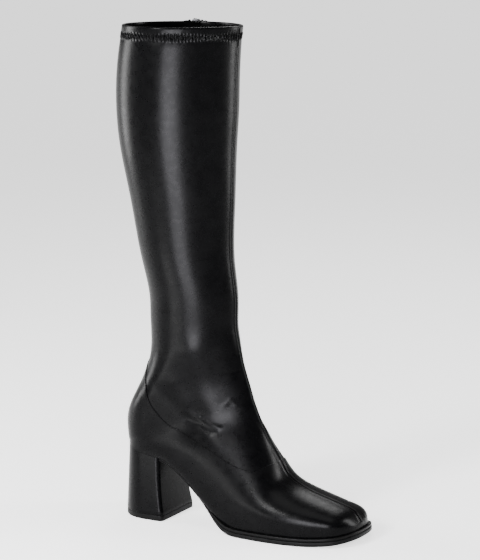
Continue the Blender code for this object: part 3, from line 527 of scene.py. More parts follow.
class UpperForm:
    """The outside of the upper, from the toe along the foot, round the heel and up the shaft.

    A section runs from a point under or behind the foot to a point on the front ridge. u says which
    section, as a distance along the form. v runs from -1 at the lateral end of a section, over 0 at
    the front ridge, to 1 at its medial end.
    """

    def __init__(self):
        rows = []
        for row in FOOT:
            rows.append((
                row.front_x * LAST_LENGTH,
                row.front_z * INSTEP_HEIGHT,
                -row.under * LAST_LENGTH,
                row.lateral * BALL_WIDTH,
                row.medial * BALL_WIDTH,
                row.widest,
                row.round,
                row.ridge * BALL_WIDTH,
            ))
        ridge = FOOT[-1].ridge * BALL_WIDTH
        back = [(HEEL_HEIGHT, 0.0)]
        rise = ANKLE_HEIGHT - HEEL_HEIGHT
        for row in HEEL_SECTIONS:
            half = row.width * ANKLE_WIDTH / 2
            rows.append((
                row.front_x * LAST_LENGTH,
                HEEL_HEIGHT + row.front_z * rise,
                row.back_z * rise,
                half,
                half,
                row.widest,
                FOOT[-1].round,
                ridge,
            ))
            back.append((HEEL_HEIGHT + row.back_z * rise, row.back_x * LAST_LENGTH))
        for row in SHAFT:
            z = ANKLE_HEIGHT + row.up * (COLLAR_HEIGHT - ANKLE_HEIGHT)
            depth = ANKLE_DEPTH + row.depth_swell * (CALF_DEPTH - ANKLE_DEPTH)
            half = (ANKLE_WIDTH + row.width_swell * (CALF_WIDTH - ANKLE_WIDTH)) / 2
            back_x = ANKLE_BACK + (row.back_x - SHAFT[0].back_x) * CALF_DEPTH
            rows.append((back_x + depth, z, z - HEEL_HEIGHT, half, half, row.widest, row.round, ridge))
            back.append((z, back_x))
        self.back_x = spline([z for z, _ in back], [x for _, x in back])
        table = np.array(rows)
        steps = np.hypot(np.diff(table[:, 0]), np.diff(table[:, 1])) + np.abs(np.diff(table[:, 2]))
        self.places = np.concatenate([[0], np.cumsum(steps / 2)])
        self.columns = [spline(self.places, column) for column in table.T]
        self.fine_u = np.linspace(0, self.places[-1], FORM_SAMPLES)
        self.fine_under = self.columns[2](self.fine_u)
        self.heel_u = self.u_of_under(0.0)
        self.top_u = self.places[-1]

    def u_of_under(self, under):
        """The section whose lower end is at minus X under the foot, or this high above the seat behind it."""
        return np.interp(under, self.fine_under, self.fine_u)

    def ends(self, u):
        """Front and under points, half widths and the other section values at u."""
        front_x, front_z, under, lateral, medial, widest, roundness, ridge = (c(u) for c in self.columns)
        under = np.where(np.abs(u - self.heel_u) < EPS, 0.0, under)
        x = np.maximum(-under, 0)
        up = np.maximum(under, 0)
        behind = np.where(under > 0, self.back_x(HEEL_HEIGHT + up), 0.0)
        closing = toe_closing(x)
        left, right = half_widths(x)
        open_below = under < 0
        return {
            "front": (front_x, front_z),
            "under": (x + behind, seat_z(x) + up),
            "middle": np.where(open_below, outline_centre(x), 0.0),
            "ridge": ridge,
            "bottom": (np.where(open_below, left, 0.0), np.where(open_below, right, 0.0)),
            "widths": (np.maximum(lateral * closing, left), np.maximum(medial * closing, right)),
            "widest": widest,
            "round": roundness,
            "lean": 1 - ramp(x, HEEL_ROUNDING, LEAN_END),
        }

    def points(self, u, v):
        """Points on the form, one row of three numbers for each pair of u and v.

        Where the sections turn from the foot to the back of the heel they would leave a fold, so
        there, away from the lower edge, each point is the mean of its neighbours along the form.
        """
        u, v = np.broadcast_arrays(np.asarray(u, float), np.asarray(v, float))
        near = np.exp(-(((u - self.heel_u) / HEEL_BLEND) ** 2))
        reach = HEEL_BLEND_STEP * near * ramp(1 - np.abs(v), 0, HEEL_BLEND_EDGE)
        total = 0
        for step, weight in HEEL_BLEND_WEIGHTS:
            total = total + weight * self.plain_points(np.clip(u + step * reach, 0, self.top_u), v)
        return total

    def plain_points(self, u, v):
        e = self.ends(u)
        front_x, front_z = e["front"]
        under_x, under_z = e["under"]
        height = np.hypot(front_x - under_x, front_z - under_z)
        lateral = v < 0
        bottom = np.where(lateral, e["bottom"][0], e["bottom"][1])
        widest_half = np.where(lateral, e["widths"][0], e["widths"][1])
        low = e["widest"]
        below = np.hypot(widest_half - bottom, low * height)
        above = np.hypot(widest_half, (1 - low) * height)
        split = below / (below + above)
        phi = 1 - np.abs(v)
        start = np.arcsin(np.clip(bottom / widest_half, 0, MOST_LEAN)) * e["lean"]
        turn_low = start + np.clip(phi / split, 0, 1) * (math.pi / 2 - start)
        rise = (np.sin(turn_low) - np.sin(start)) / (1 - np.sin(start))
        turn_high = np.clip((phi - split) / (1 - split), 0, 1) * math.pi / 2
        n = e["round"]
        reach = (np.cos(turn_high) ** n + np.sin(turn_high) ** n) ** (1 / n)
        is_low = phi < split
        out = np.where(
            is_low,
            bottom + (widest_half - bottom) * rise,
            widest_half * np.cos(turn_high) / reach,
        )
        low_share = low * (np.cos(start) - np.cos(turn_low)) / np.cos(start)
        share = np.where(is_low, low_share, low + (1 - low) * np.sin(turn_high) / reach)
        middle = e["middle"] + (e["ridge"] - e["middle"]) * share
        side = np.where(lateral, -1.0, 1.0)
        x = under_x + (front_x - under_x) * share
        z = under_z + (front_z - under_z) * share
        return np.stack([x, middle + side * out, z], axis=-1)

    def normals(self, u, v):
        """Outward normals, from small steps that stay on the form."""
        u, v = np.broadcast_arrays(np.asarray(u, float), np.asarray(v, float))
        ahead = self.points(np.minimum(u + U_STEP, self.top_u), v)
        along = ahead - self.points(np.maximum(u - U_STEP, 0), v)
        across = self.points(u, np.minimum(v + V_STEP, 1)) - self.points(u, np.maximum(v - V_STEP, -1))
        normal = np.cross(across, along)
        return normal / np.maximum(np.linalg.norm(normal, axis=-1, keepdims=True), EPS**2)

    def v_of_share(self, u, share):
        """The medial v at which each section has risen by this share of its height."""
        grid = np.linspace(0, 1, SHARE_SAMPLES)
        u = np.atleast_1d(u)
        found = []
        for one, wanted in zip(u, np.broadcast_to(share, u.shape)):
            points = self.points(np.full_like(grid, one), grid)
            start, end = points[-1], points[0]
            line = (end - start)[[0, 2]]
            risen = (points - start)[:, [0, 2]] @ line / (line @ line)
            found.append(np.interp(-wanted, -risen, grid))
        return np.array(found)


def hem_lift(z):
    """The turned hem stands a little proud of the shaft."""
    return HEM_STEP * ramp(z, COLLAR_HEIGHT - HEM_DEPTH - HEM_EASE, COLLAR_HEIGHT - HEM_DEPTH + HEM_EASE)


def grid_normals(grid, closed_rows):
    """Outward normals of a grid of points, whose first and last columns meet in the closed rows."""
    along = np.gradient(grid, axis=0)
    across = np.gradient(grid, axis=1)
    meeting = grid[closed_rows, 1] - grid[closed_rows, -2]
    across[closed_rows, 0] = meeting
    across[closed_rows, -1] = meeting
    normal = np.cross(across, along)
    return normal / np.maximum(np.linalg.norm(normal, axis=-1, keepdims=True), EPS**2)


def cut_level(bm, faces, level):
    """Cuts faces along level(point) = 0, so that edges follow that line."""
    value = {vert: level(vert.co) for face in faces for vert in face.verts}
    on_line = {vert for vert, found in value.items() if abs(found) < EPS}
    edges = {edge for face in faces for edge in face.edges}
    for edge in sorted(edges, key=lambda e: e.index):
        a, b = edge.verts
        if a in on_line or b in on_line or value[a] * value[b] > 0:
            continue
        low, high = 0.0, 1.0
        for _ in range(CUT_STEPS):
            middle = (low + high) / 2
            if level(a.co.lerp(b.co, middle)) * value[a] > 0:
                low = middle
            else:
                high = middle
        _, made = bmesh.utils.edge_split(edge, a, (low + high) / 2)
        on_line.add(made)
    pieces = []
    for face in faces:
        ends = [vert for vert in face.verts if vert in on_line]
        if len(ends) == 2 and not any(set(edge.verts) == set(ends) for edge in face.edges):
            new_face, _ = bmesh.utils.face_split(face, *ends)
            pieces.append(new_face)
    return faces + pieces


seam_height = spline(
    [row.along * LAST_LENGTH for row in ANKLE_SEAM],
    [row.height * INSTEP_HEIGHT for row in ANKLE_SEAM],
)


def below_seam(point):
    """How far a point lies below the ankle seam, which is drawn in the side view."""
    return float(seam_height(point.x)) - point.z


def raise_foot(bm, faces):
    """Below the ankle seam the foot's panels lie over the shaft: the wall steps out, and the step fades."""
    bm.normal_update()
    raised = []
    for vert in {vert for face in faces for vert in face.verts}:
        depth = below_seam(vert.co) - SEAM_SLOPE
        if depth > -EPS:
            raised.append((vert, vert.normal.copy() * SEAM_STEP * (1 - float(ramp(depth, 0, SEAM_FADE)))))
    for vert, move in raised:
        vert.co += move


def crease_lift(points, v):
    """Soft ridges and troughs that were placed one by one from the photo, seen in the side view."""
    total = np.zeros(points.shape[:-1])
    for crease in CREASES:
        line = np.array(crease.path) * (LAST_LENGTH, INSTEP_HEIGHT)
        nearest = np.full(total.shape, np.inf)
        for start, end in zip(line, line[1:]):
            run = end - start
            rel = points[..., [0, 2]] - start
            along = np.clip(rel @ run / (run @ run), 0, 1)
            nearest = np.minimum(nearest, np.linalg.norm(rel - along[..., None] * run, axis=-1))
        side = ramp(-v if crease.side == "outer" else v, 0, CREASE_FADE)
        total += crease.lift * np.exp(-((nearest / crease.width) ** 2)) * side
    return total


def wave_lift(points):
    """Slow waves that stretch leather keeps, so that highlights don't run dead straight."""
    scaled = points / WAVE_SIZE
    flat = scaled.reshape(-1, 3)
    found = np.array([noise.noise(Vector(point)) for point in flat])
    return WAVE_LIFT * found.reshape(points.shape[:-1]) * ramp(points[..., 2], WAVE_FROM, WAVE_FULL)


class Skin:
    """The outside of the upper with its hem, seams, creases and the zip's channel."""

    def __init__(self):
        self.form = UpperForm()
        form = self.form
        rows = np.linspace(form.heel_u, form.top_u, ZIP_SAMPLES)
        middles = form.points(rows, form.v_of_share(rows, ZIP_SHARE))
        self.zip_start = float(np.interp(ZIP_BOTTOM, middles[:, 2], rows))
        self.zip_rows = rows
        ends = form.ends(rows)
        height = np.hypot(ends["front"][0] - ends["under"][0], ends["front"][1] - ends["under"][1])
        self.zip_lines = {}
        for off in (0.0, *ZIP_EDGES, *(-edge for edge in ZIP_EDGES)):
            self.zip_lines[off] = form.v_of_share(rows, ZIP_SHARE + off / height)

    def zip_v(self, u, off=0.0):
        """v of the line that runs at this distance from the zip's middle, forwards of it where positive."""
        return np.interp(u, self.zip_rows, self.zip_lines[off])

    def columns(self, u):
        """v of every column in the section u. Beside the zip the columns keep to its edges."""
        t = np.linspace(0, 1, COLUMNS + 1)
        half = t - COLUMN_CROWDING * np.sin(2 * math.pi * t) / (2 * math.pi)
        middle = int(np.argmin(np.abs(half - self.zip_v(self.form.top_u))))
        keep = float(ramp(u, self.form.heel_u - ZIP_EASE, self.zip_start))
        before = [middle - step for step in ZIP_COLUMNS[::-1]]
        after = [middle + step for step in ZIP_COLUMNS]
        marks = [0, *before, *after, COLUMNS]
        edges = [*ZIP_EDGES[::-1], *(-edge for edge in ZIP_EDGES)]
        places = [0.0, *(float(self.zip_v(u, edge)) for edge in edges), 1.0]
        warped = np.interp(np.arange(COLUMNS + 1), marks, places)
        medial = half + (warped - half) * keep
        return np.concatenate([-half[::-1], medial[1:]])

    def lift(self, u, v, points):
        """How far the outside stands out from the form."""
        form = self.form
        u, v = np.broadcast_arrays(u, v)
        z = points[..., 2]
        ridge = np.linalg.norm(points - form.points(u, np.zeros_like(v)), axis=-1)
        back = np.linalg.norm(points - form.points(u, np.ones_like(v)), axis=-1)
        on_shaft = ramp(u, form.heel_u, form.heel_u + SEAM_EASE)
        lift = hem_lift(z) + crease_lift(points, v) + wave_lift(points)
        lift += seam_profile(ridge, FRONT_SEAM)
        lift += seam_profile(back, BACK_SEAM) * on_shaft * (below_seam_all(points) < 0)
        lift += self.pucker(points, z)
        lift += self.zip_lift(u, v, points)
        return lift

    def pucker(self, points, z):
        """The zigzag stitch draws the hem in, in small even puckers."""
        down = (COLLAR_HEIGHT - ZIGZAG_BELOW - z) / ZIGZAG_TALL
        turn = np.arctan2(points[..., 1], points[..., 0] - ORIGIN_X - ANKLE_DEPTH / 2)
        ripple = 1 + PUCKER_RIPPLE * np.cos(turn * ZIGZAG_COUNT)
        return -PUCKER_DEPTH * np.exp(-(down**2)) * ripple

    def zip_lift(self, u, v, points):
        """A sunk channel for the chain, between two folded lips."""
        form = self.form
        here = u >= self.zip_start - EPS
        inner = ZIP_EDGES[0]
        sunk = here & (v > self.zip_v(u, inner) - EPS) & (v < self.zip_v(u, -inner) + EPS)
        middle = form.points(u, self.zip_v(u))
        away = np.linalg.norm(points - middle, axis=-1)
        lip = LIP_LIFT * np.exp(-(((away - LIP_AT) / LIP_WIDTH) ** 2))
        lip = lip * ramp(u, self.zip_start - SEAM_EASE, self.zip_start)
        return np.where(sunk, -ZIP_DEPTH, lip * (v > 0))

    def place(self, u, v, proud=0.0):
        """Points on the finished outside and its normals."""
        u, v = np.broadcast_arrays(np.asarray(u, float), np.asarray(v, float))
        points = self.form.points(u, v)
        normals = self.form.normals(u, v)
        lift = self.lift(u, v, points) + proud
        return points + normals * lift[..., None], normals


def seam_profile(distance, seam):
    """A groove where two panels meet, between the soft swells of their turned edges."""
    groove = -seam.depth * np.exp(-((distance / seam.groove) ** 2))
    swell = seam.swell * np.exp(-(((distance - seam.swell_at) / seam.swell_width) ** 2))
    return groove + swell


def below_seam_all(points):
    return seam_height(points[..., 0]) - points[..., 2]


def foot_rows(form):
    """u of the sections that end at the foot's stations, from the toe to the heel."""
    under = [form.u_of_under(-x) for x in foot_stations()[::-1]]
    under[0] = 0.0
    under[-1] = form.heel_u
    return under


def arc_length(points):
    """How far along a line of points each of them lies."""
    return np.concatenate([[0], np.cumsum(np.linalg.norm(np.diff(points, axis=0), axis=1))])


def skin_rows(skin):
    """u of every row of the skin, closer together at the ankle and at the hem."""
    form = skin.form
    ankle_end = form.heel_u + ANKLE_SPAN
    top = float(form.u_of_under(COLLAR_HEIGHT - RIM_RADIUS - HEEL_HEIGHT))
    shaft = list(np.arange(form.heel_u + ANKLE_STEP, ankle_end, ANKLE_STEP))
    hem = float(form.u_of_under(COLLAR_HEIGHT - HEM_DEPTH - 2 * HEM_EASE - HEEL_HEIGHT))
    shaft += list(np.arange(ankle_end, hem - SHAFT_STEP / 2, SHAFT_STEP))
    shaft += list(np.arange(hem, top - HEM_ROW / 2, HEM_ROW))
    marks = [skin.zip_start - EPS * 20, skin.zip_start, top]
    shaft = [u for u in shaft if min(abs(u - mark) for mark in marks) > HEM_ROW / 3]
    return np.array(foot_rows(form) + sorted(shaft + marks))


class Sheet:
    """Grids of points whose first and last columns meet at the toe and up the shaft."""

    def __init__(self, grids, end, heel_row):
        self.bm = bmesh.new()
        self.made = {}
        self.grids = grids
        self.end = end
        self.heel_row = heel_row

    def vert(self, kind, i, j):
        if i == 0:
            j = min(j, self.end - j)
        if i >= self.heel_row and j == self.end:
            j = 0
        key = kind, i, j
        if key not in self.made:
            self.made[key] = self.bm.verts.new(self.grids[kind][i, j])
        return self.made[key]

    def face(self, corners):
        corners = list(dict.fromkeys(corners))
        return self.bm.faces.new(corners) if len(corners) > 2 else None


def skin_grids(skin, rows):
    """Points of the outside with the rounded rim above it, and the plain form's points and normals."""
    form = skin.form
    v = np.array([skin.columns(u) for u in rows])
    u = np.broadcast_to(rows[:, None], v.shape)
    surface = form.points(u, v)
    normal = grid_normals(surface, rows >= form.heel_u - EPS)
    outer = surface + normal * skin.lift(u, v, surface)[..., None]
    outer[0, :, 1] = float(outline_centre(LAST_LENGTH))
    flat = normal[-1] * (1, 1, 0)
    flat /= np.linalg.norm(flat, axis=-1, keepdims=True)
    rim = []
    for turn in np.linspace(0, math.pi, RIM_STEPS + 1)[1:]:
        inwards = flat * RIM_RADIUS * (1 - math.cos(turn))
        upwards = RIM_RADIUS * math.sin(turn)
        rim.append(outer[-1] - inwards + np.array([0, 0, upwards]))
    full = np.concatenate([outer, np.array(rim)])
    full[..., 2] += rim_lumps(skin, full)
    return full, surface, normal


def rim_lumps(skin, points):
    """The gathered ends of the zip's lips, which stand over the rim."""
    middle = skin.form.points(skin.form.top_u, skin.zip_v(skin.form.top_u))
    across = np.linalg.norm((points - middle)[..., :2], axis=-1) * np.sign(points[..., 0] - middle[0])
    near = ramp(points[..., 2], COLLAR_HEIGHT - LUMP_FROM, COLLAR_HEIGHT) * (points[..., 1] > 0)
    total = np.zeros(points.shape[:-1])
    for lump in LUMPS:
        total += lump.height * np.exp(-(((across - lump.at) / lump.width) ** 2))
    return total * near


def inner_offset(z):
    """The skin is doubled over for a facing under the rim and thinner below, where the lining joins it."""
    facing = ramp(z, COLLAR_HEIGHT - FACING - FACING_SLOPE, COLLAR_HEIGHT - FACING)
    return SKIN + (WALL - SKIN) * facing


def thinned(count, step, *keep):
    """Every step-th index up to count, with the ones named in keep."""
    return sorted({*range(0, count, step), count, *keep})


def add_skin(skin):
    rows = skin_rows(skin)
    full, surface, normal = skin_grids(skin, rows)
    last = len(rows) - 1
    end = full.shape[1] - 1
    heel_row = len(foot_stations()) - 1
    inner = surface - normal * inner_offset(surface[..., 2])[..., None]
    inner[0, :, 1] = float(outline_centre(LAST_LENGTH))
    for i, x in enumerate(foot_stations()[::-1]):
        lateral, medial = plan_ring([x], lambda _: -SKIN, seat_z)
        inner[i, 0] = lateral[0]
        inner[i, -1] = medial[0]
    sheet = Sheet({"out": full, "in": inner}, end, heel_row)

    def out(i, j):
        return sheet.vert("out", i, j)

    def inn(i, j):
        return sheet.vert("in", i, j)

    outside = []
    for i in range(len(full) - 1):
        for j in range(end):
            outside.append(sheet.face([out(i, j), out(i, j + 1), out(i + 1, j + 1), out(i + 1, j)]))
    steps = thinned(last - 1, INNER_ROWS, heel_row)
    sides = thinned(end, INNER_COLUMNS)
    for low, high in zip(steps, steps[1:]):
        for near, far in zip(sides, sides[1:]):
            sheet.face([inn(high, near), inn(high, far), inn(low, far), inn(low, near)])
    top = len(full) - 1
    for near, far in zip(sides, sides[1:]):
        strip = [out(top, j) for j in range(near, far + 1)]
        sheet.face(strip + [inn(steps[-1], far), inn(steps[-1], near)])
    for low, high in zip(steps, steps[1:]):
        if high <= heel_row:
            for j in (0, end):
                strip = [out(i, j) for i in range(low, high + 1)]
                sheet.face(strip + [inn(high, j), inn(low, j)])
    bm = sheet.bm
    bmesh.ops.recalc_face_normals(bm, faces=bm.faces)
    outside = [face for face in outside if face]
    for level in (0.0, SEAM_SLOPE):
        bm.edges.index_update()
        depths = [below_seam(face.calc_center_median()) - level for face in outside]
        near = [face for face, depth in zip(outside, depths) if abs(depth) < SEAM_NEAR]
        outside += cut_level(bm, near, lambda point, at=level: below_seam(point) - at)[len(near):]
    raise_foot(bm, outside)
    return add_mesh("upper_skin", bm)


def add_lining(skin):
    """A thin cloth shell against the inside of the skin, from the sole to the facing."""
    form = skin.form
    top = float(form.u_of_under(COLLAR_HEIGHT - FACING - FACING_SLOPE * 2 - HEEL_HEIGHT))
    stations = foot_stations()[::-1]
    under = foot_rows(form)
    picked = thinned(len(under) - 1, LINING_ROWS)
    shaft = np.linspace(form.heel_u, top, LINING_SHAFT_ROWS)[1:]
    rows = np.array([under[i] for i in picked] + list(shaft))
    heel_row = len(picked) - 1
    v = np.array([skin.columns(u)[:: INNER_COLUMNS // 2] for u in rows])
    u = np.broadcast_to(rows[:, None], v.shape)
    surface = form.points(u, v)
    normal = grid_normals(surface, rows >= form.heel_u - EPS)
    shells = {}
    for kind, depth in (("out", SKIN + LINING_GAP), ("in", WALL)):
        shell = surface - normal * depth
        shell[0, :, 1] = float(outline_centre(LAST_LENGTH))
        for i, k in enumerate(picked):
            lateral, medial = plan_ring([stations[k]], lambda _: -depth, seat_z)
            shell[i, 0] = lateral[0]
            shell[i, -1] = medial[0]
        shells[kind] = shell
    end = v.shape[1] - 1
    last = len(rows) - 1
    sheet = Sheet(shells, end, heel_row)
    at = sheet.vert
    for i in range(last):
        for j in range(end):
            square = [(i, j), (i, j + 1), (i + 1, j + 1), (i + 1, j)]
            for kind in shells:
                sheet.face([at(kind, *corner) for corner in square])
    for j in range(end):
        sheet.face([at("out", last, j), at("out", last, j + 1), at("in", last, j + 1), at("in", last, j)])
    for i in range(heel_row):
        for j in (0, end):
            sheet.face([at("out", i, j), at("out", i + 1, j), at("in", i + 1, j), at("in", i, j)])
    bmesh.ops.recalc_face_normals(sheet.bm, faces=sheet.bm.faces)
    return add_mesh("lining", sheet.bm)


# Thread
def thread_run(starts, ends, normals, radius):
    """One mesh of stitches: each is a short thread that rises from one hole and dips into the next."""
    share = np.linspace(0, 1, THREAD_STEPS + 1)
    arch = np.sin(share * math.pi) ** 0.5
    turn = np.arange(THREAD_SIDES) * 2 * math.pi / THREAD_SIDES
    vertices = []
    faces = []
    for start, end, normal in zip(starts, ends, normals):
        along = (end - start) / np.linalg.norm(end - start)
        side = np.cross(normal, along)
        side /= np.linalg.norm(side)
        out = np.cross(along, side)
        first = len(vertices)
        for t, rise in zip(share, arch):
            centre = start + (end - start) * t + out * radius * (rise * THREAD_RISE - THREAD_SUNK)
            size = radius * (THREAD_TIP + (1 - THREAD_TIP) * rise)
            for angle in turn:
                vertices.append(centre + (side * math.cos(angle) + out * math.sin(angle)) * size)
        for k in range(THREAD_STEPS):
            for i in range(THREAD_SIDES):
                j = (i + 1) % THREAD_SIDES
                a = first + k * THREAD_SIDES
                b = a + THREAD_SIDES
                faces.append((a + i, a + j, b + j, b + i))
        faces.append(tuple(range(first + THREAD_SIDES - 1, first - 1, -1)))
        tip = first + THREAD_STEPS * THREAD_SIDES
        faces.append(tuple(range(tip, tip + THREAD_SIDES)))
    return vertices, faces


def add_hem_zigzag(skin):
    """Two overlapping rows of zigzag stitches round the hem."""
    form = skin.form
    ring_v = np.linspace(-1, 1, RING_SAMPLES)
    middle_u = float(form.u_of_under(COLLAR_HEIGHT - ZIGZAG_BELOW - HEEL_HEIGHT))
    ring = form.points(middle_u, ring_v)
    length = arc_length(ring)
    count = round(length[-1] / ZIGZAG_PITCH)
    zip_at = float(np.interp(skin.zip_v(middle_u), ring_v, length))
    starts, ends, normals = [], [], []
    for shift, phase in ((-ZIGZAG_APART / 2, 0.0), (ZIGZAG_APART / 2, 0.5)):
        corners = []
        for k in range(2 * count + 1):
            s = (k / 2 + phase) / count * length[-1] % length[-1]
            z = COLLAR_HEIGHT - ZIGZAG_BELOW + shift + (ZIGZAG_TALL / 2) * (1 if k % 2 else -1)
            corners.append((s, z))
        for (s0, z0), (s1, z1) in zip(corners, corners[1:]):
            if abs(s0 - zip_at) < ZIP_CLEAR or abs(s1 - zip_at) < ZIP_CLEAR or abs(s1 - s0) > ZIGZAG_PITCH:
                continue
            u = np.array([form.u_of_under(z - HEEL_HEIGHT) for z in (z0, z1)])
            v = np.interp([s0, s1], length, ring_v)
            placed, normal = skin.place(u, v)
            starts.append(placed[0])
            ends.append(placed[1])
            normals.append(normal.mean(axis=0))
    return add_solid("hem_zigzag", *thread_run(starts, ends, normals, HEM_THREAD))


def stitches_along(skin, u, v, proud):
    """Starts, ends and normals of stitches on a line given by u and v."""
    placed, normals = skin.place(u, v, proud)
    run = arc_length(placed)
    starts = np.arange(SEAM_PITCH / 2, run[-1] - SEAM_STITCH, SEAM_PITCH)

    def at(where, values):
        return np.stack([np.interp(where, run, values[:, k]) for k in range(3)], axis=1)

    return at(starts, placed), at(starts + SEAM_STITCH, placed), at(starts, normals)


def add_stitch_rows(name, runs):
    starts, ends, normals = (np.concatenate(group) for group in zip(*runs))
    return add_solid(name, *thread_run(starts, ends, normals, SEAM_THREAD))


def seam_line(skin, side, depth):
    """u and v where the outside lies this far below the ankle seam, from the ridge to the back."""
    form = skin.form
    grid = np.linspace(0, 1, SEAM_SAMPLES) * side
    us, vs = [], []
    for u in np.arange(0, form.heel_u + SEAM_REACH, SEAM_ROW):
        level = below_seam_all(form.points(u, grid)) - depth
        if level[0] < 0 < level[-1]:
            k = int(np.argmax(level > 0))
            share = -level[k - 1] / (level[k] - level[k - 1])
            us.append(u)
            vs.append(grid[k - 1] + share * (grid[k] - grid[k - 1]))
    return np.array(us), np.array(vs)


def add_seam_stitches(skin):
    """The row that holds the foot's panels over the shaft, on both sides."""
    lines = [seam_line(skin, side, SEAM_STITCH_BELOW) for side in (-1, 1)]
    return add_stitch_rows("ankle_stitches", [stitches_along(skin, *line, SEAM_STEP) for line in lines])


def add_zip_stitches(skin):
    """A row down each folded lip of the zip."""
    top = skin.form.u_of_under(COLLAR_HEIGHT - ZIGZAG_TALL / 2 - HEEL_HEIGHT)
    u = np.arange(skin.zip_start, top, SEAM_ROW)
    lines = [skin.zip_v(u, off) for off in (ZIP_EDGES[2], -ZIP_EDGES[2])]
    return add_stitch_rows("zip_stitches", [stitches_along(skin, u, v, 0.0) for v in lines])


# The zip
def zip_place(skin, u, off, level):
    """Points at a distance from the zip's middle and a level over the form's wall."""
    form = skin.form
    v = skin.zip_v(u)
    middle = form.points(u, v)
    normal = form.normals(u, v)
    upward = np.gradient(middle, axis=0)
    upward /= np.linalg.norm(upward, axis=1, keepdims=True)
    across = np.cross(upward, normal)
    return middle + across * off + normal * level, across, upward, normal


def add_zip_tape(skin):
    """The woven tape, with a shallow cord down each side of the teeth."""
    u = np.linspace(skin.zip_start, skin.form.top_u, TAPE_ROWS)
    half = ZIP_WIDTH / 2
    floor = -ZIP_DEPTH + GAP
    top = TAPE_LEVEL
    profile = [(-half, floor), (-half, top), (-TAPE_CORD_AT - TAPE_CORD, top)]
    profile += [(-TAPE_CORD_AT, top + TAPE_CORD / 2), (-TAPE_CORD_AT + TAPE_CORD, top)]
    profile += [(-off, level) for off, level in profile[::-1]]
    rings = np.stack([zip_place(skin, u, off, level)[0] for off, level in profile], axis=1)
    return add_solid("zip_tape", *tube_faces(rings))


def tube_faces(rings):
    """Vertices and faces of a closed tube through rings of points."""
    count = rings.shape[1]
    faces = []
    for i in range(len(rings) - 1):
        for k in range(count):
            a = i * count + k
            b = i * count + (k + 1) % count
            faces.append((a, b, b + count, a + count))
    faces.append(tuple(range(count - 1, -1, -1)))
    last = (len(rings) - 1) * count
    faces.append(tuple(range(last, last + count)))
    return rings.reshape(-1, 3), faces


def add_zip_teeth(skin):
    """Coil teeth: slanted loops from the two sides that meet in the middle."""
    fine = np.linspace(skin.zip_start, skin.form.top_u, RING_SAMPLES)
    parts = zip_place(skin, fine, 0.0, TAPE_LEVEL)
    run = arc_length(parts[0])
    starts, ends, normals = [], [], []
    for k, s in enumerate(np.arange(TOOTH_PITCH, run[-1] - SLIDER_LENGTH / 2, TOOTH_PITCH / 2)):
        side = 1 if k % 2 else -1
        base, wide, up, out = (
            np.array([np.interp(s, run, part[:, i]) for i in range(3)]) for part in parts
        )
        starts.append(base + wide * side * TOOTH_REACH)
        ends.append(base - wide * side * TOOTH_OVER + up * TOOTH_PITCH / 4)
        normals.append(out)
    return add_solid("zip_teeth", *thread_run(starts, ends, normals, TOOTH_RADIUS))


def bevelled_copy(frame, node, width):
    """A CAD piece with its corners rounded, as cast metal has them."""
    bm = bmesh.new()
    bm.from_mesh(frame["nodes"][node].data)
    bmesh.ops.remove_doubles(bm, verts=bm.verts, dist=EPS)
    flat = math.radians(FLAT_ANGLE)
    bmesh.ops.dissolve_limit(bm, angle_limit=flat, verts=bm.verts, edges=bm.edges)
    sharp = [edge for edge in bm.edges if edge.calc_face_angle(0) > math.radians(BEVEL_ANGLE)]
    bmesh.ops.bevel(
        bm,
        geom=sharp,
        offset=width,
        offset_type="OFFSET",
        segments=BEVEL_STEPS,
        profile=0.5,
        affect="EDGES",
        clamp_overlap=True,
    )
    for vertex in bm.verts:
        vertex.co.x += ORIGIN_X
    return add_mesh(node + "_cast", bm)


# The sole and the heel
def rounded_edge(radius, steps=EDGE_STEPS):
    """Inward and upward shares of a rounded edge, from its flat face to its side."""
    turn = np.linspace(0, math.pi / 2, steps + 1)
    return [(radius * (1 - math.sin(a)), radius * (1 - math.cos(a))) for a in turn]


def lower_edge(ring, radius):
    """Rings up round a piece's lower edge, where ring(inwards, up) makes one."""
    return [ring(inwards, up) for inwards, up in rounded_edge(radius)]


def upper_edge(ring, radius):
    """Rings up round a piece's upper edge."""
    return [ring(inwards, -down) for inwards, down in rounded_edge(radius)[::-1]]


def plate_ring(stations, edge, level):
    """Makes rings that lie inwards of edge(x) and above level(x)."""
    return lambda inwards, up: plan_ring(stations, lambda x: edge(x) - inwards, lambda x: level(x) + up)


def add_outsole():
    start = BREAST_AT + 2 * GAP
    stations = [start] + [x for x in foot_stations() if x > start + 3 * REAR_REBATE]
    inner = [start + REAR_REBATE] + stations[1:]
    edge = forepart_grow(SOLE_PROUD)
    rings = lower_edge(plate_ring(stations, edge, tread_z), SOLE_EDGE)
    rings += upper_edge(plate_ring(stations, edge, rim_z), SOLE_EDGE / 2)
    rings += [plan_ring(inner, lambda _: -WELT_REACH - GAP, level) for level in (rim_z, pad_z)]
    return add_solid("outsole_rubber", *ring_solid(rings))


def welt_base(x):
    return rim_z(x) + GAP


def add_welt():
    stations = [WELT_START] + [x for x in foot_stations() if x > WELT_START + FOOT_STEP / 4]
    edge = forepart_grow(WELT_PROUD)
    corners = lower_edge(plate_ring(stations, edge, welt_base), WELT_EDGE)
    corners += upper_edge(plate_ring(stations, edge, pad_z), WELT_EDGE)
    corners += [plan_ring(stations, lambda _: -WELT_REACH, level) for level in (pad_z, welt_base)]
    lines = np.array([lateral + medial[::-1][1:] for lateral, medial in corners])
    return add_solid("welt_strip", *tube_faces(lines.transpose(1, 0, 2)))


def add_insole():
    inset = -(WALL + INSOLE_CLEAR)
    stations = foot_stations()
    top = plate_ring(stations, lambda _: inset, lambda x: seat_z(x) + INSOLE)
    rings = [plan_ring(stations, lambda _: inset, seat_z)] + upper_edge(top, INSOLE / 2)
    return add_solid("insole_cloth", *ring_solid(rings))


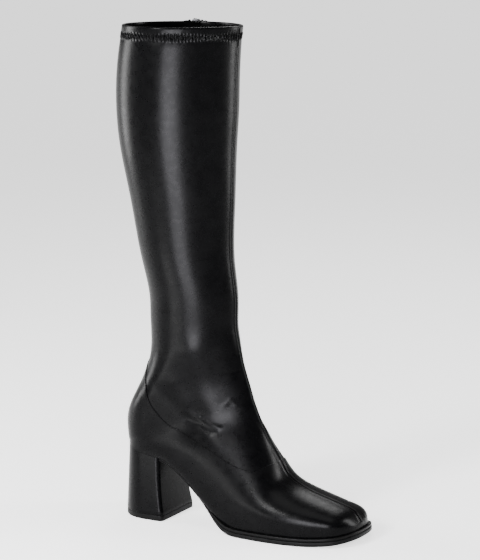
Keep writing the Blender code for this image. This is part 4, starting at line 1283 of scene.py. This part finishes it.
def heel_section(share, inset=0.0):
    """Half outline of the heel, from its back to its breast, with share 0 at the base and 1 at the seat."""
    turn = np.linspace(0, math.pi / 2, ROUNDING_STEPS + 1)
    base_back = -HEEL_OVERHANG
    base_front = base_back + HEEL_BASE_LENGTH
    radius = HEEL_BASE_WIDTH / 2
    base = [(base_back + radius * (1 - math.sin(a)), radius * math.cos(a)) for a in turn[::-1]]
    seat = []
    for a in turn[::-1]:
        x = HEEL_ROUNDING * (1 - math.sin(a))
        seat.append((x, sum(half_widths(x)) / 2))
    rear = base[-1][0]
    for side in np.linspace(0, 1, HEEL_SIDE_STEPS + 1)[1:]:
        base.append((rear + (base_front - HEEL_CORNER - rear) * side, radius))
        x = HEEL_ROUNDING + (BREAST_AT - HEEL_CORNER - HEEL_ROUNDING) * side
        seat.append((x, sum(half_widths(x)) / 2))
    for a in np.linspace(0, math.pi / 2, HEEL_CORNER_STEPS + 1)[1:]:
        into = HEEL_CORNER * (1 - math.sin(a))
        off = HEEL_CORNER * (1 - math.cos(a))
        base.append((base_front - into, radius - off))
        seat.append((BREAST_AT - into, sum(half_widths(BREAST_AT)) / 2 - off))
    hollow = BREAST_HOLLOW * 4 * share * (1 - share)
    middle = (base_back + base_front) / 2
    ring = []
    for (bx, bw), (sx, sw) in zip(base, seat):
        forward = max(bx, 0) / base_front
        x = bx + (sx - bx) * share - hollow * forward**4
        width = float(bw + (sw - bw) * share)
        shrink = 1 - inset / radius
        ring.append((middle + (x - middle) * shrink, width * shrink, sx))
    return ring


def heel_ring(share, height, inset=0.0):
    """A ring of the heel at a share of its height, with height(seat_x) giving each point's Z."""
    section = heel_section(share, inset)
    lateral = [(x, -w, float(height(seat_x))) for x, w, seat_x in section]
    medial = [(x, w, float(height(seat_x))) for x, w, seat_x in section]
    return lateral, medial


def add_heel():
    foot = TOP_PIECE + GAP
    rings = lower_edge(lambda inwards, up: heel_ring(0.0, lambda _: foot + up, inwards), HEEL_EDGE)
    for share in np.linspace(0, 1, HEEL_ROWS + 1)[1:]:
        rings.append(heel_ring(share, lambda x, s=share: foot + s * (pad_z(x) - foot)))
    return add_solid("heel_cover", *ring_solid(rings))


def add_top_piece():
    rings = lower_edge(lambda inwards, up: heel_ring(0.0, lambda _: up, inwards), TOP_PIECE_EDGE)
    rings += upper_edge(lambda inwards, up: heel_ring(0.0, lambda _: TOP_PIECE + up, inwards), TOP_PIECE_EDGE)
    return add_solid("top_piece_rubber", *ring_solid(rings))


# Pieces: the finish and slot of each, the body that it rides on and the CAD nodes that it stands for
Piece = namedtuple("Piece", "look slot body nodes")
PIECES = {
    "upper_skin": Piece("faux_leather", "faux_leather", "boot", ["upper"]),
    "lining": Piece("insole_fabric", "insole_fabric", "boot", []),
    "hem_zigzag": Piece("thread", "faux_leather", "boot", []),
    "ankle_stitches": Piece("thread", "faux_leather", "boot", []),
    "zip_stitches": Piece("thread", "faux_leather", "boot", []),
    "zip_tape": Piece("zip_tape", "zip_tape", "boot", ["zip_chain"]),
    "zip_teeth": Piece("zip_teeth", "zip_tape", "boot", []),
    "zip_slider_cast": Piece("zip_metal", "zip_metal", "boot", ["zip_slider"]),
    "zip_pull_cast": Piece("zip_metal", "zip_metal", "pull", ["zip_pull"]),
    "insole_cloth": Piece("insole_fabric", "insole_fabric", "boot", ["insole"]),
    "welt_strip": Piece("welt_rubber", "welt_rubber", "boot", ["welt"]),
    "outsole_rubber": Piece("sole_rubber", "sole_rubber", "boot", ["outsole"]),
    "heel_cover": Piece("faux_leather", "faux_leather", "boot", ["heel"]),
    "top_piece_rubber": Piece("sole_rubber", "sole_rubber", "boot", ["heel_top_piece"]),
}


def add_mesh(name, bm):
    """A finished piece in the row frame, with what PIECES says of it."""
    look, slot, body, nodes = PIECES[name]
    for vertex in bm.verts:
        vertex.co.x -= ORIGIN_X
    bmesh.ops.recalc_face_normals(bm, faces=bm.faces)
    mesh = bpy.data.meshes.new(name)
    bm.to_mesh(mesh)
    bm.free()
    mesh.shade_smooth()
    mesh.set_sharp_from_angle(angle=math.radians(SHARP_ANGLE))
    mesh.materials.append(materials[look])
    obj = bpy.data.objects.new(name, mesh)
    bpy.context.scene.collection.objects.link(obj)
    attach(obj, body)
    if nodes:
        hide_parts(*nodes)
    return obj


def add_solid(name, vertices, faces):
    bm = bmesh.new()
    made = [bm.verts.new(point) for point in vertices]
    for face in faces:
        bm.faces.new([made[i] for i in face])
    return add_mesh(name, bm)


# Materials
class Nodes:
    """A material's node tree, with its Principled shader and object coordinates at hand."""

    def __init__(self, name, colour, roughness, metallic=0.0):
        self.material = bpy.data.materials.new(name)
        self.material.use_nodes = True
        self.tree = self.material.node_tree
        self.shader = self.tree.nodes["Principled BSDF"]
        self.set("Base Color", (*colour, 1.0))
        self.set("Roughness", roughness)
        self.set("Metallic", metallic)
        self.place = self.tree.nodes.new("ShaderNodeTexCoord").outputs["Object"]

    def set(self, name, value):
        self.shader.inputs[name].default_value = value

    def link(self, output, node_input):
        self.tree.links.new(output, node_input)

    def noise(self, size, detail=2.0, rough=0.5, stretch=(1, 1, 1)):
        """Noise whose features are about size metres across, drawn out by stretch."""
        mapping = self.tree.nodes.new("ShaderNodeMapping")
        mapping.inputs["Scale"].default_value = tuple(1 / part for part in stretch)
        self.link(self.place, mapping.inputs["Vector"])
        made = self.tree.nodes.new("ShaderNodeTexNoise")
        made.inputs["Scale"].default_value = 1 / size
        made.inputs["Detail"].default_value = detail
        made.inputs["Roughness"].default_value = rough
        self.link(mapping.outputs["Vector"], made.inputs["Vector"])
        return made.outputs["Fac"]

    def wrinkles(self, centre, count, low, high):
        """Even puckers round an upright axis at centre, between two heights."""
        mapping = self.tree.nodes.new("ShaderNodeMapping")
        mapping.inputs["Location"].default_value = tuple(-part for part in centre)
        self.link(self.place, mapping.inputs["Vector"])
        round_it = self.tree.nodes.new("ShaderNodeTexGradient")
        round_it.gradient_type = "RADIAL"
        self.link(mapping.outputs["Vector"], round_it.inputs["Vector"])
        turns = self.maths("MULTIPLY", round_it.outputs["Fac"], 2 * math.pi * count)
        upright = self.tree.nodes.new("ShaderNodeSeparateXYZ")
        self.link(self.place, upright.inputs["Vector"])
        away = self.maths("SUBTRACT", upright.outputs["Z"], (low + high) / 2)
        near = self.maths("MULTIPLY", self.maths("ABSOLUTE", away, 0.0), 2 / (high - low))
        near = self.maths("MAXIMUM", self.maths("SUBTRACT", 1.0, near), 0.0)
        return self.maths("MULTIPLY", self.maths("SINE", turns, 0.0), near)

    def maths(self, operation, first, second):
        made = self.tree.nodes.new("ShaderNodeMath")
        made.operation = operation
        for value, node_input in zip((first, second), made.inputs):
            if isinstance(value, float):
                node_input.default_value = value
            else:
                self.link(value, node_input)
        return made.outputs["Value"]

    def weave(self, size, turned):
        """Fine ribs across one direction."""
        mapping = self.tree.nodes.new("ShaderNodeMapping")
        mapping.inputs["Rotation"].default_value = turned
        self.link(self.place, mapping.inputs["Vector"])
        made = self.tree.nodes.new("ShaderNodeTexWave")
        made.inputs["Scale"].default_value = 1 / size
        made.inputs["Distortion"].default_value = WEAVE_DISTORTION
        made.inputs["Detail"].default_value = 1.0
        self.link(mapping.outputs["Vector"], made.inputs["Vector"])
        return made.outputs["Fac"]

    def between(self, value, low, high):
        made = self.tree.nodes.new("ShaderNodeMapRange")
        made.inputs["From Min"].default_value = NOISE_LOW
        made.inputs["From Max"].default_value = NOISE_HIGH
        made.inputs["To Min"].default_value = low
        made.inputs["To Max"].default_value = high
        self.link(value, made.inputs["Value"])
        return made.outputs["Result"]

    def colours(self, value, dark, light):
        made = self.tree.nodes.new("ShaderNodeMix")
        made.data_type = "RGBA"
        made.inputs["A"].default_value = (*dark, 1.0)
        made.inputs["B"].default_value = (*light, 1.0)
        self.link(value, made.inputs["Factor"])
        self.link(made.outputs["Result"], self.shader.inputs["Base Color"])

    def bumps(self, *layers):
        """Stacks bumps, each given as a height, its depth in metres and its strength."""
        normal = None
        for height, depth, strength in layers:
            made = self.tree.nodes.new("ShaderNodeBump")
            made.inputs["Distance"].default_value = depth
            made.inputs["Strength"].default_value = strength
            self.link(height, made.inputs["Height"])
            if normal:
                self.link(normal, made.inputs["Normal"])
            normal = made.outputs["Normal"]
        self.link(normal, self.shader.inputs["Normal"])


# Finishes: the shader's own colour, roughness, metal and shine. mottle is two colours and the size and detail
# of their patches. patches is the same for roughness. A bump is a pattern, its settings, depth and strength.
Finish = namedtuple("Finish", "name colour roughness metallic shine mottle patches bumps")
HEM_MIDDLE = COLLAR_HEIGHT - ZIGZAG_BELOW
HEM_WRINKLES = ((ANKLE_DEPTH / 2, 0.0, 0.0), ZIGZAG_COUNT, HEM_MIDDLE - ZIGZAG_TALL, HEM_MIDDLE + ZIGZAG_TALL)
FINISHES = {
    "faux_leather": Finish(
        "boot_leather", LEATHER_DARK, 0.3, 0.0, 0.04,
        (LEATHER_DARK, LEATHER_LIGHT, 0.012, 3),
        (0.25, 0.32, 0.006, 4, 0.6),
        [
            ("wrinkles", HEM_WRINKLES, 0.0006, 0.8),
            ("noise", (0.007, 2), 0.0006, 0.10),
            ("noise", (0.0012, 3), 0.0001, 0.12),
            ("noise", (0.00035, 2), 0.00005, 0.15),
        ],
    ),
    "thread": Finish(
        "boot_thread", (0.001, 0.001, 0.001), 0.6, 0.0, 0.03,
        ((0.0006, 0.0006, 0.0007), (0.002, 0.002, 0.002), 0.0006),
        (),
        [("weave", (0.0008, (0.5, 0.6, 0.3)), 0.0001, 0.6)],
    ),
    "insole_fabric": Finish(
        "lining_cloth", (0.008, 0.008, 0.009), 0.9, 0.0, 0.1,
        ((0.006, 0.006, 0.007), (0.014, 0.014, 0.015), 0.004, 3),
        (),
        [
            ("weave", (0.0045, (0, 0, 0)), 0.0001, 0.5),
            ("weave", (0.0045, (0, math.pi / 2, 0)), 0.0001, 0.5),
        ],
    ),
    "welt_rubber": Finish(
        "welt_satin", (0.001, 0.001, 0.001), 0.36, 0.0, 0.05,
        ((0.0008, 0.0008, 0.0008), (0.0018, 0.0018, 0.0018), 0.003, 3),
        (0.30, 0.42, 0.002, 3),
        [("noise", (0.0006, 3), 0.0001, 0.25), ("noise", (0.004, 2, 0.5, (1, 1, 4)), 0.0004, 0.12)],
    ),
    "sole_rubber": Finish(
        "sole_dull", (0.001, 0.001, 0.001), 0.45, 0.0, 0.05,
        ((0.0008, 0.0008, 0.0008), (0.0020, 0.0020, 0.0020), 0.005, 4),
        (0.38, 0.52, 0.003, 3),
        [("noise", (0.0008, 4), 0.0002, 0.30)],
    ),
    "zip_tape": Finish(
        "tape_cloth", (0.006, 0.006, 0.007), 0.8, 0.0, 0.1,
        ((0.004, 0.004, 0.005), (0.012, 0.012, 0.013), 0.001),
        (),
        [("weave", (0.0035, (0, math.pi / 2, 0)), 0.0002, 0.6), ("noise", (0.0004,), 0.0001, 0.3)],
    ),
    "zip_teeth": Finish(
        "tooth_nylon", (0.010, 0.010, 0.011), 0.35, 0.0, 0.5,
        (),
        (0.28, 0.42, 0.0015),
        [("noise", (0.0005,), 0.00005, 0.3)],
    ),
    "zip_metal": Finish(
        "pull_enamel", (0.035, 0.035, 0.037), 0.30, 0.9, 0.5,
        ((0.022, 0.022, 0.024), (0.055, 0.055, 0.058), 0.0015, 4),
        (0.24, 0.40, 0.0012, 4),
        [("noise", (0.0006, 3), 0.00005, 0.25)],
    ),
}


def finished(finish):
    """The material of one row of FINISHES."""
    made = Nodes(finish.name, finish.colour, finish.roughness, finish.metallic)
    made.set("Specular IOR Level", finish.shine)
    if finish.mottle:
        dark, light, *pattern = finish.mottle
        made.colours(made.between(made.noise(*pattern), 0, 1), dark, light)
    if finish.patches:
        low, high, *pattern = finish.patches
        made.link(made.between(made.noise(*pattern), low, high), made.shader.inputs["Roughness"])
    patterns = {"noise": made.noise, "weave": made.weave, "wrinkles": made.wrinkles}
    made.bumps(*((patterns[kind](*settings), *how) for kind, settings, *how in finish.bumps))
    return made.material


def studio_floor():
    made = Nodes("studio_floor", FLOOR_COLOUR, FLOOR_ROUGHNESS)
    made.set("Specular IOR Level", FLOOR_SHINE)
    made.set("Emission Color", (1, 1, 1, 1))
    made.set("Emission Strength", FLOOR_GLOW)
    return made.material


# Studio
def direction(azimuth, pitch):
    """From the boot outwards: azimuth 0 is its outer side and 90 is ahead of its toe."""
    a = math.radians(azimuth)
    p = math.radians(pitch)
    return Vector((math.sin(a) * math.cos(p), -math.cos(a) * math.cos(p), math.sin(p)))


def add_camera():
    data = bpy.data.cameras.new("camera")
    data.sensor_width = SENSOR
    data.lens = FOCAL
    camera = bpy.data.objects.new("camera", data)
    bpy.context.scene.collection.objects.link(camera)
    target = Vector(CAMERA_TARGET)
    back = direction(CAMERA_AZIMUTH, CAMERA_PITCH)
    camera.location = target + back * CAMERA_DISTANCE
    camera.rotation_euler = back.to_track_quat("Z", "Y").to_euler()
    bpy.context.scene.camera = camera


def add_softbox(name, box):
    data = bpy.data.lights.new(name, "AREA")
    data.shape = "RECTANGLE"
    data.size = box.width
    data.size_y = box.tall
    data.energy = box.power
    data.color = box.colour
    light = bpy.data.objects.new(name, data)
    light.visible_camera = False
    bpy.context.scene.collection.objects.link(light)
    back = direction(box.azimuth, 0) * box.distance
    target = Vector((CAMERA_TARGET[0] * AIM_SHARE, 0, box.aim))
    light.location = Vector((target.x + back.x, back.y, box.height))
    light.rotation_euler = (light.location - target).to_track_quat("Z", "Y").to_euler()


def add_studio():
    floor_mesh = bpy.data.meshes.new("studio_floor")
    half = FLOOR_SIZE / 2
    corners = [(-half, -half, 0), (half, -half, 0), (half, half, 0), (-half, half, 0)]
    floor_mesh.from_pydata(corners, [], [(0, 1, 2, 3)])
    floor_mesh.materials.append(studio_floor())
    floor = bpy.data.objects.new("studio_floor", floor_mesh)
    bpy.context.scene.collection.objects.link(floor)
    world = bpy.data.worlds.new("studio")
    world.use_nodes = True
    world.node_tree.nodes["Background"].inputs["Color"].default_value = (*WORLD_COLOUR, 1.0)
    world.node_tree.nodes["Background"].inputs["Strength"].default_value = WORLD_STRENGTH
    bpy.context.scene.world = world
    for name, box in SOFTBOXES.items():
        add_softbox(name, box)


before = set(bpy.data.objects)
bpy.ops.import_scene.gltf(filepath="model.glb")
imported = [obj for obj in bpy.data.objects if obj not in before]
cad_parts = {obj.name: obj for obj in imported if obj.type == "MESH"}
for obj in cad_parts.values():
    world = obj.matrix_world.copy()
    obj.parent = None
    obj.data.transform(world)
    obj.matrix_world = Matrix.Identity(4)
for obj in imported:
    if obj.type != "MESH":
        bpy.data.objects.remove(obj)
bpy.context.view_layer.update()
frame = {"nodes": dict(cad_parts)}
materials = {look: finished(finish) for look, finish in FINISHES.items()}
skin = Skin()
add_skin(skin)
add_lining(skin)
add_hem_zigzag(skin)
add_seam_stitches(skin)
add_zip_stitches(skin)
add_zip_tape(skin)
add_zip_teeth(skin)
bevelled_copy(frame, "zip_slider", SLIDER_BEVEL)
bevelled_copy(frame, "zip_pull", PULL_BEVEL)
add_insole()
add_welt()
add_outsole()
add_heel()
add_top_piece()
add_camera()
add_studio()
